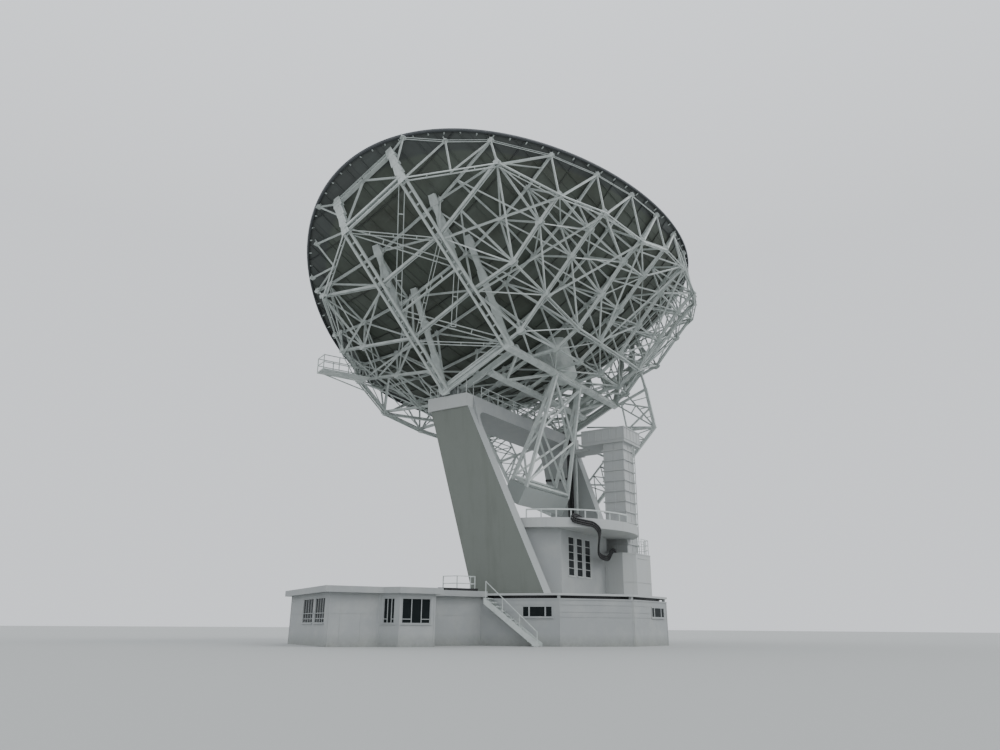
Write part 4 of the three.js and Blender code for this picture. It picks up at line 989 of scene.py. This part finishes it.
def beside(u, hole):
    """The part of the span `u` that is left beside a hole."""
    if u[0] >= hole[1] or u[1] <= hole[0]:
        return u
    return (u[0], min(u[1], hole[0])) if u[0] < hole[0] else (max(u[0], hole[1]), u[1])


def drum_details():
    """Cover strips, corner strips, window frames and sills of the ten-sided building."""
    paint, panes = Steel(), Steel()
    halves = ((0.12, SIDE_LENGTH / 2 - 0.02), (SIDE_LENGTH / 2 + 0.02, SIDE_LENGTH - 0.12))
    for i in range(10):
        face = drum_face(i)
        for v in ((2.3, 2.345), (1.9, 1.93), (1.62, 1.665)):
            for u in halves:
                if i in DRUM_WINDOWS and v[0] < 2.25:
                    u = beside(u, from_corner(wider(DRUM_WINDOWS[i][0], 0.06)))
                face.strip(paint, u, v, 0.014)
        for u in ((0.01, 0.1), (SIDE_LENGTH - 0.1, SIDE_LENGTH - 0.01)):
            face.strip(paint, u, (0.0, DRUM_WALL_TOP - 0.002), 0.012)
        face.strip(paint, (0.11, SIDE_LENGTH - 0.11), (0.0, 0.16), 0.02)
        face.strip(paint, (0.02, SIDE_LENGTH - 0.02), (2.59, DRUM_WALL_TOP - 0.002), 0.03)
    for index, (span, v) in DRUM_WINDOWS.items():
        face = drum_face(index)
        u = from_corner(span)
        face.glazed(paint, panes, u, v, (0.23, 0.76), out=(ON_FACE, 0.04), edge=0.06, bar=0.09)
        face.sill(paint, u, v[0], 0.07)
    paint.made("drum_trim", "base_building", "painted_masonry", "shaded_masonry")
    panes.made("drum_panes", "base_building", "glass")


def slot_shade_ring():
    """A dark ring behind the slot under the coping, in short straight pieces: painted shade, standing
    for the shade in the slot.
    """
    dark = Steel()
    count = 60
    inner, outer = SLOT_SHADE_RADII
    for i in range(count):
        a, b = (2 * pi * (i + step) / count for step in (0, 1))
        plan = ((inner, a), (outer, a), (outer, b), (inner, b))
        foot = [polar(r, turn, SLOT_SHADE_FOOT) for r, turn in plan]
        dark.prism(foot, [p + Z_WAY * SLOT_SHADE_TALL for p in foot])
    # The ring is painted shade, made in the dark rubber material to darken the slot
    dark.made("slot_shade_ring", "base_building", "cable_rubber")


ANNEX_WALLS = [
    ((0, 0), (BAY_FROM, 0)),
    ((BAY_FROM, 0), (BAY_FRONT, -BAY_OUT)),
    ((BAY_FRONT, -BAY_OUT), (ANNEX_LENGTH, -BAY_OUT)),
    ((ANNEX_LENGTH, -BAY_OUT), (ANNEX_LENGTH, LINK_FRONT)),
    ((ANNEX_LENGTH, LINK_FRONT), (9.9, LINK_FRONT)),
    ((0, ANNEX_DEPTH), (0, 0)),
    ((ANNEX_LENGTH, ANNEX_DEPTH), (0, ANNEX_DEPTH)),
    ((9.9, LINK_REAR), (ANNEX_LENGTH, LINK_REAR)),
    ((ANNEX_LENGTH, LINK_REAR), (ANNEX_LENGTH, ANNEX_DEPTH)),
]
SILL, HEAD, TRANSOM = 1.18, 2.52, 1.42
QUARTERS = (0.25, 0.5, 0.75)
# Windows by wall: along it, where the mullions stand, and the transoms between them
ANNEX_WINDOWS = {
    1: [((0.23, 0.93), (0.36, 0.7), ((TRANSOM, 0, 0.36), (TRANSOM, 0.7, 1)))],
    2: [((0.15, 1.85), (0.34, 0.68), ((TRANSOM, 0, 0.34), (TRANSOM, 0.68, 1)))],
    5: [
        ((ANNEX_DEPTH - 2.65, ANNEX_DEPTH - 0.8), QUARTERS, ((TRANSOM, 0, 1),)),
        ((ANNEX_DEPTH - 5.15, ANNEX_DEPTH - 3.05), QUARTERS, ((TRANSOM, 0, 1),)),
    ],
}


def annex_details():
    """Window frames, cover strips and sills of the annex, and the dark kerb on the link's roof."""
    paint, panes = Steel(), Steel()
    faces = [Face(on_annex(*a, 0), on_annex(*b, 0)) for a, b in ANNEX_WALLS]
    lengths = [dist(a, b) for a, b in ANNEX_WALLS]
    for i, (face, length) in enumerate(zip(faces, lengths)):
        windows = ANNEX_WINDOWS.get(i, [])
        holes = [row[0] for row in windows]
        stops = [0.1, *(u for hole in holes for u in wider(hole, 0.08)), length - 0.1]
        for low, high in ((1.68, 1.72), (2.58, 2.63)):
            spans = [(0.1, length - 0.1)] if low > 2 else list(zip(stops[::2], stops[1::2]))
            for u in spans:
                if u[1] - u[0] > 0.05:
                    face.strip(paint, u, (low, high), 0.013)
        for u in ((0.0, 0.09), (length - 0.09, length)):
            face.strip(paint, u, (0.0, ROOF_UNDER - 0.002), 0.012)
        face.strip(paint, (0.1, length - 0.1), (0.0, 0.14), 0.02)
        for hole, lights, transoms in windows:
            face.glazed(paint, panes, hole, (SILL, HEAD), lights, transoms)
            face.sill(paint, hole, SILL, by=0.06)
    faces[0].strip(paint, (0.62, 0.66), (0.14, 2.55), 0.01)
    faces[0].strip(paint, (1.75, 1.78), (0.14, 1.66), 0.008)
    paint.made("annex_trim", "base_building", "painted_masonry", "shaded_masonry")
    panes.made("annex_panes", "base_building", "glass")
    dark = Steel()
    kerb = Face(on_annex(6.9, LINK_FRONT + 0.05, 0), on_annex(9.5, LINK_FRONT + 0.05, 0))
    kerb.strip(dark, (0, 2.6), (ROOF_TOP + 0.001, ROOF_TOP + 0.16), (-0.12, 0.0))
    dark.made("roof_kerb", "base_building", "cable_rubber")


ROOM_SILL, ROOM_HEAD, ROOM_TALL = 4.15, 6.6, 2.45
PANE_X, PANE_WIDE = (-3.36, -2.2, -1.04), 0.8
ROOM_LEFT, ROOM_RIGHT, ROOM_REAR, ROOM_FRONT = -4.3, 3, -3.3, 1.75


def room_details():
    """Glazing bars, panes and sills of the room between the towers."""
    paint, panes = Steel(), Steel()
    bars = [(ROOM_SILL + ROOM_TALL * k / 5, 0, 1) for k in range(1, 5)]
    v = (ROOM_SILL, ROOM_HEAD)
    rear = Face(Vector((ROOM_LEFT, ROOM_REAR, 0)), Vector((2.0, ROOM_REAR, 0)))
    for x in PANE_X:
        u = (x - ROOM_LEFT, x - ROOM_LEFT + PANE_WIDE)
        rear.glazed(paint, panes, u, v, (), bars, out=(-0.06, 0.0), edge=0.04)
        rear.sill(paint, u, ROOM_SILL)
    front = Face(Vector((ROOM_RIGHT, ROOM_FRONT, 0)), Vector((ROOM_LEFT, ROOM_FRONT, 0)))
    for x in PANE_X:
        u = (ROOM_RIGHT - x - PANE_WIDE, ROOM_RIGHT - x)
        front.glazed(paint, panes, u, v, (), bars, out=(-0.06, 0.0), edge=0.04)
    paint.made("room_trim", "turntable", "painted_masonry")
    panes.made("room_panes", "turntable", "glass")


BOX_TOP, SHAFT_FOOT, SHAFT_TOP = 5.95, 6.05, 14.0
LADDER_X, LADDER_Y, SHAFT_REAR = (5.0, 5.3), -4.46, -4.3
RAIL_CORNERS = [(5.3, -4.15), (5.7, -4.65), (5.15, -5.2), (3.9, -5.22)]
# Plans of the platform, the shaft and the box, in the order in which their seen walls run
PLATFORM_PLAN = [(3.4, -1.0), (3.4, -4.5), (6.3, -4.5), (6.3, -1.0)]
SHAFT_PLAN = [(3.6, -2.7), (3.6, SHAFT_REAR), (5.4, SHAFT_REAR)]
BOX_PLAN = [(2.0, -2.2), (2.0, -4.6), (2.7, -5.3), (5.2, -5.3)]


def walls(plan, lengths):
    """The wall faces of a plan, each with its length."""
    spots = [Vector((*spot, 0)) for spot in plan]
    return [(Face(a, b), length) for a, b, length in zip(spots, spots[1:], lengths)]


def shaft_ladder():
    """The ladder on the shaft's rear, and the rail round the top of the lower box."""
    metal = Steel()
    left, right = LADDER_X
    rungs = 26
    for x in LADDER_X:
        foot = Vector((x, LADDER_Y, SHAFT_FOOT))
        metal.member(foot, Vector((x, LADDER_Y, SHAFT_TOP)), rect(0.04, 0.05))
    for i in range(rungs):
        z = SHAFT_FOOT + 0.15 + (SHAFT_TOP - SHAFT_FOOT - 0.3) * i / (rungs - 1)
        metal.bar(Vector((left, LADDER_Y, z)), Vector((right, LADDER_Y, z)), 0.015)
    for z in (6.6, 8.2, 9.8, 11.4, 13.0):
        for x in LADDER_X:
            metal.member(Vector((x, SHAFT_REAR, z)), Vector((x, LADDER_Y, z)), rect(0.03, 0.03))
    corners = [Vector((*spot, 0)) for spot in RAIL_CORNERS]
    for a, b in zip(corners, corners[1:]):
        for z in (0.35, 0.7, 1.05):
            lift = Z_WAY * (BOX_TOP + z)
            metal.bar(a + lift, b + lift, 0.02)
    between = [corners[i].lerp(corners[i + 1], 0.5) for i in (1, 2)]
    for spot in corners + between:
        metal.bar(spot + Z_WAY * BOX_TOP, spot + Z_WAY * 7.02, 0.024)
    metal.made("shaft_ladder", "turntable")


def shaft_trim():
    """Bands and battens of the platform, upright joints of the shaft, and strips of the lower box."""
    paint = Steel()
    for face, length in walls(PLATFORM_PLAN, (3.5, 2.9, 3.5)):
        for v in ((14.1, 14.16), (14.32, 14.38), (15.17, 15.25)):
            face.strip(paint, (0, length), v, 0.04)
        count = round(length / 0.58)
        for i in range(count + 1):
            u = min(max(length * i / count, 0.03), length - 0.03)
            face.strip(paint, around(u, 0.06), (14.38, 15.17), 0.025)
    for face, length in walls(SHAFT_PLAN, (1.6, 1.8)):
        for u in (0.03, length / 2, length - 0.03):
            face.strip(paint, around(u, 0.05), (5.96, SHAFT_TOP), 0.03)
    box_walls = walls(BOX_PLAN, (2.4, 0.99, 2.5))
    for face, length in box_walls:
        for v in ((2.97, 3.1), (4.0, 4.03), (5.86, 5.948)):
            face.strip(paint, (0.0, length), v, 0.022)
    left, back = box_walls[0][0], box_walls[2][0]
    for u in (0.35, 1.3):
        left.strip(paint, (u, u + 0.05), (3.15, 5.0), 0.02)
    left.strip(paint, (0.35, 1.35), (5.0, 5.05), 0.02)
    back.strip(paint, (0.3, 1.9), (5.6, 5.64), 0.03)
    paint.made("shaft_trim", "turntable", "painted_masonry")


CAP_TOP = 15.85
CAP_RAILS = [[(7.1, 1.7), (7.9, 1.7), (7.9, 2.4)], [(7.1, 4.75), (7.9, 4.75), (7.9, 4.0)]]


def cap_rails():
    """Guard posts and rails on the tower caps, and small posts on the portal beam."""
    metal = Steel()
    for side in (-1, 1):
        for x, y in CAP_RAILS[0] + CAP_RAILS[1]:
            foot = Vector((side * x, y, CAP_TOP))
            metal.bar(foot, foot + Z_WAY * 0.95, 0.024)
        for rail in CAP_RAILS:
            for start, end in zip(rail, rail[1:]):
                for z in (0.5, 0.93):
                    a, b = (Vector((side * x, y, CAP_TOP + z)) for x, y in (start, end))
                    metal.bar(a, b, 0.02)
    for i in range(6):
        x = -6.2 + 12.4 * (i + 0.5) / 7
        metal.bar(Vector((x, 1.66, CAP_TOP)), Vector((x, 1.66, 16.68)), 0.018)
    metal.made("cap_rails", "turntable")


def smooth_path(points, steps=4):
    """Points of a smooth curve through the given ones."""
    whole = [points[0], *points, points[-1]]
    curve = []
    for a, b, c, d in zip(whole, whole[1:], whole[2:], whole[3:]):
        for i in range(steps):
            t = i / steps
            bend = (2 * a - 5 * b + 4 * c - d) * t * t + (3 * b - a - 3 * c + d) * t * t * t
            curve.append(b + ((c - a) * t + bend) * 0.5)
    return [*curve, points[-1]]


BUNDLE_X, BUNDLE_Y, BUNDLE_TOP, BUNDLE_FOOT = 5.75, 1.25, 15.4, 7.62


def cable_bundle():
    """The bundle of cables behind the mast, from the portal beam down to the balcony."""
    rubber = Steel()
    count = 14
    for i in range(count):
        turn = 2 * pi * i / count
        ring = 0.2 if i % 2 else 0.12
        x, y = BUNDLE_X + ring * cos(turn), BUNDLE_Y + ring * sin(turn)
        out = 0.5 - ring * sin(turn)
        top = BUNDLE_TOP + ring * sin(turn)
        bend = [Vector((x, BUNDLE_Y + 0.34, top)), Vector((x, y + 0.12 * out, top))]
        bend += [Vector((x, y, z)) for z in (top - 0.25, 12.0, 9.5, BUNDLE_FOOT)]
        rubber.pipe(bend, 0.042, 7)
    piece = rubber.made("cable_bundle", "turntable", "cable_rubber")
    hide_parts("cable_run")


# Route of the cables over the balcony, then by angle and height along its edge, then to the box
OVER_BALCONY = [
    (5.75, 1.0, 7.72), (3.6, -1.4, 7.68), (0.4, -3.2, 7.68), (-2.9, -4.1, 7.68), (-4.2, -4.3, 7.72),
]
ALONG_EDGE, EDGE_R = [(-136, 7.45), (-129, 7.29), (-123.7, 7.18), (-120, 6.75)], 6.28
TO_BOX = [
    (-1.6, -4.6, 6.1), (-0.5, -4.1, 5.62), (0.9, -4.0, 5.5),
    (1.8, -3.9, 6.0), (2.2, -3.9, 6.12), (2.5, -3.9, 5.96),
]
TOWER_PIPE = [(6.62, 4.0, 12.47), (6.6, 2.4, 12.4), (6.1, 1.6, 12.35)]


def hose_loop():
    """Three thick cables from the bundle's foot to the lower box, and the dark pipe on the tower."""
    edge = [polar(EDGE_R, radians(turn), z) for turn, z in ALONG_EDGE]
    middle = smooth_path([Vector(p) for p in (*OVER_BALCONY, *edge, *TO_BOX)])
    sides = []
    for i, spot in enumerate(middle):
        along = middle[min(i + 1, len(middle) - 1)] - middle[max(i - 1, 0)]
        sides.append(along.cross(Vector((spot.x, spot.y, 0.1 * spot.length))).normalized())
    hoses = Steel()
    for shift in (-0.13, 0.0, 0.13):
        hoses.pipe([spot + side * shift for spot, side in zip(middle, sides)], 0.06, 8)
    hoses.pipe([Vector(p) for p in TOWER_PIPE], 0.09, 10)
    hoses.made("hose_loop", "turntable", "cable_rubber")


drum_details()
# Painted shade: the dark ring in the slot under the coping
slot_shade_ring()
annex_details()
room_details()
shaft_ladder()
shaft_trim()
cap_rails()
cable_bundle()
hose_loop()

# Stage, light and camera

CAMERA_SPOT = (-46.6, -26.5, 1.05)
CAMERA_TURN = (56.6, 18.57, 0.4)  # yaw, pitch and roll in degrees
SUN_WAY = Vector((-0.25, 0.75, -0.8))
SKY_STOPS = ((0.45, (0.62, 0.64, 0.67, 1)), (1.0, (0.86, 0.9, 0.95, 1)))


def add_floor():
    mesh = bpy.data.meshes.new("floor")
    reach = 400
    corners = [(-reach, -reach, 0), (reach, -reach, 0), (reach, reach, 0), (-reach, reach, 0)]
    mesh.from_pydata(corners, [], [(0, 1, 2, 3)])
    floor = add_object("floor", mesh)
    floor.location.z = -0.002
    look = Look("floor_pale", (0.42, 0.43, 0.42), 0.9)
    look.bump(look.noise(0.5, 3), 0.02, 0.05)
    mesh.materials.append(look.mat)


def add_light():
    world = bpy.data.worlds.new("overcast")
    bpy.context.scene.world = world
    world.use_nodes = True
    sky = Nodes(world.node_tree)
    height = sky.node("SeparateXYZ", 2, sky.node("TexCoord", "Generated"))
    shade = sky.node("ValToRGB", 0, height)
    for stop, (position, colour) in zip(shade.node.color_ramp.elements, SKY_STOPS):
        stop.position, stop.color = position, colour
    back = sky.tree.nodes["Background"]
    sky.feed(back.inputs["Color"], shade)
    sky.feed(back.inputs["Strength"], 1.55)
    sun = bpy.data.lights.new("soft_sun", "SUN")
    sun.energy = 0.8
    sun.angle = radians(35)
    lamp = add_object("soft_sun", sun)
    lamp.rotation_euler = SUN_WAY.to_track_quat("-Z", "Y").to_euler()


def add_camera():
    yaw, pitch, roll = (radians(a) for a in CAMERA_TURN)
    ahead = Vector((sin(yaw) * cos(pitch), cos(yaw) * cos(pitch), sin(pitch)))
    level = Vector((cos(yaw), -sin(yaw), 0))
    above = level.cross(ahead)
    right = level * cos(roll) + above * sin(roll)
    up = above * cos(roll) - level * sin(roll)
    turn = Matrix((right, up, -ahead)).transposed().to_4x4()
    data = bpy.data.cameras.new("camera")
    data.sensor_width = 36
    data.lens = 27
    data.clip_end = 1000
    camera = add_object("camera", data)
    camera.matrix_world = Matrix.Translation(CAMERA_SPOT) @ turn
    bpy.context.scene.camera = camera


add_floor()
add_light()
add_camera()
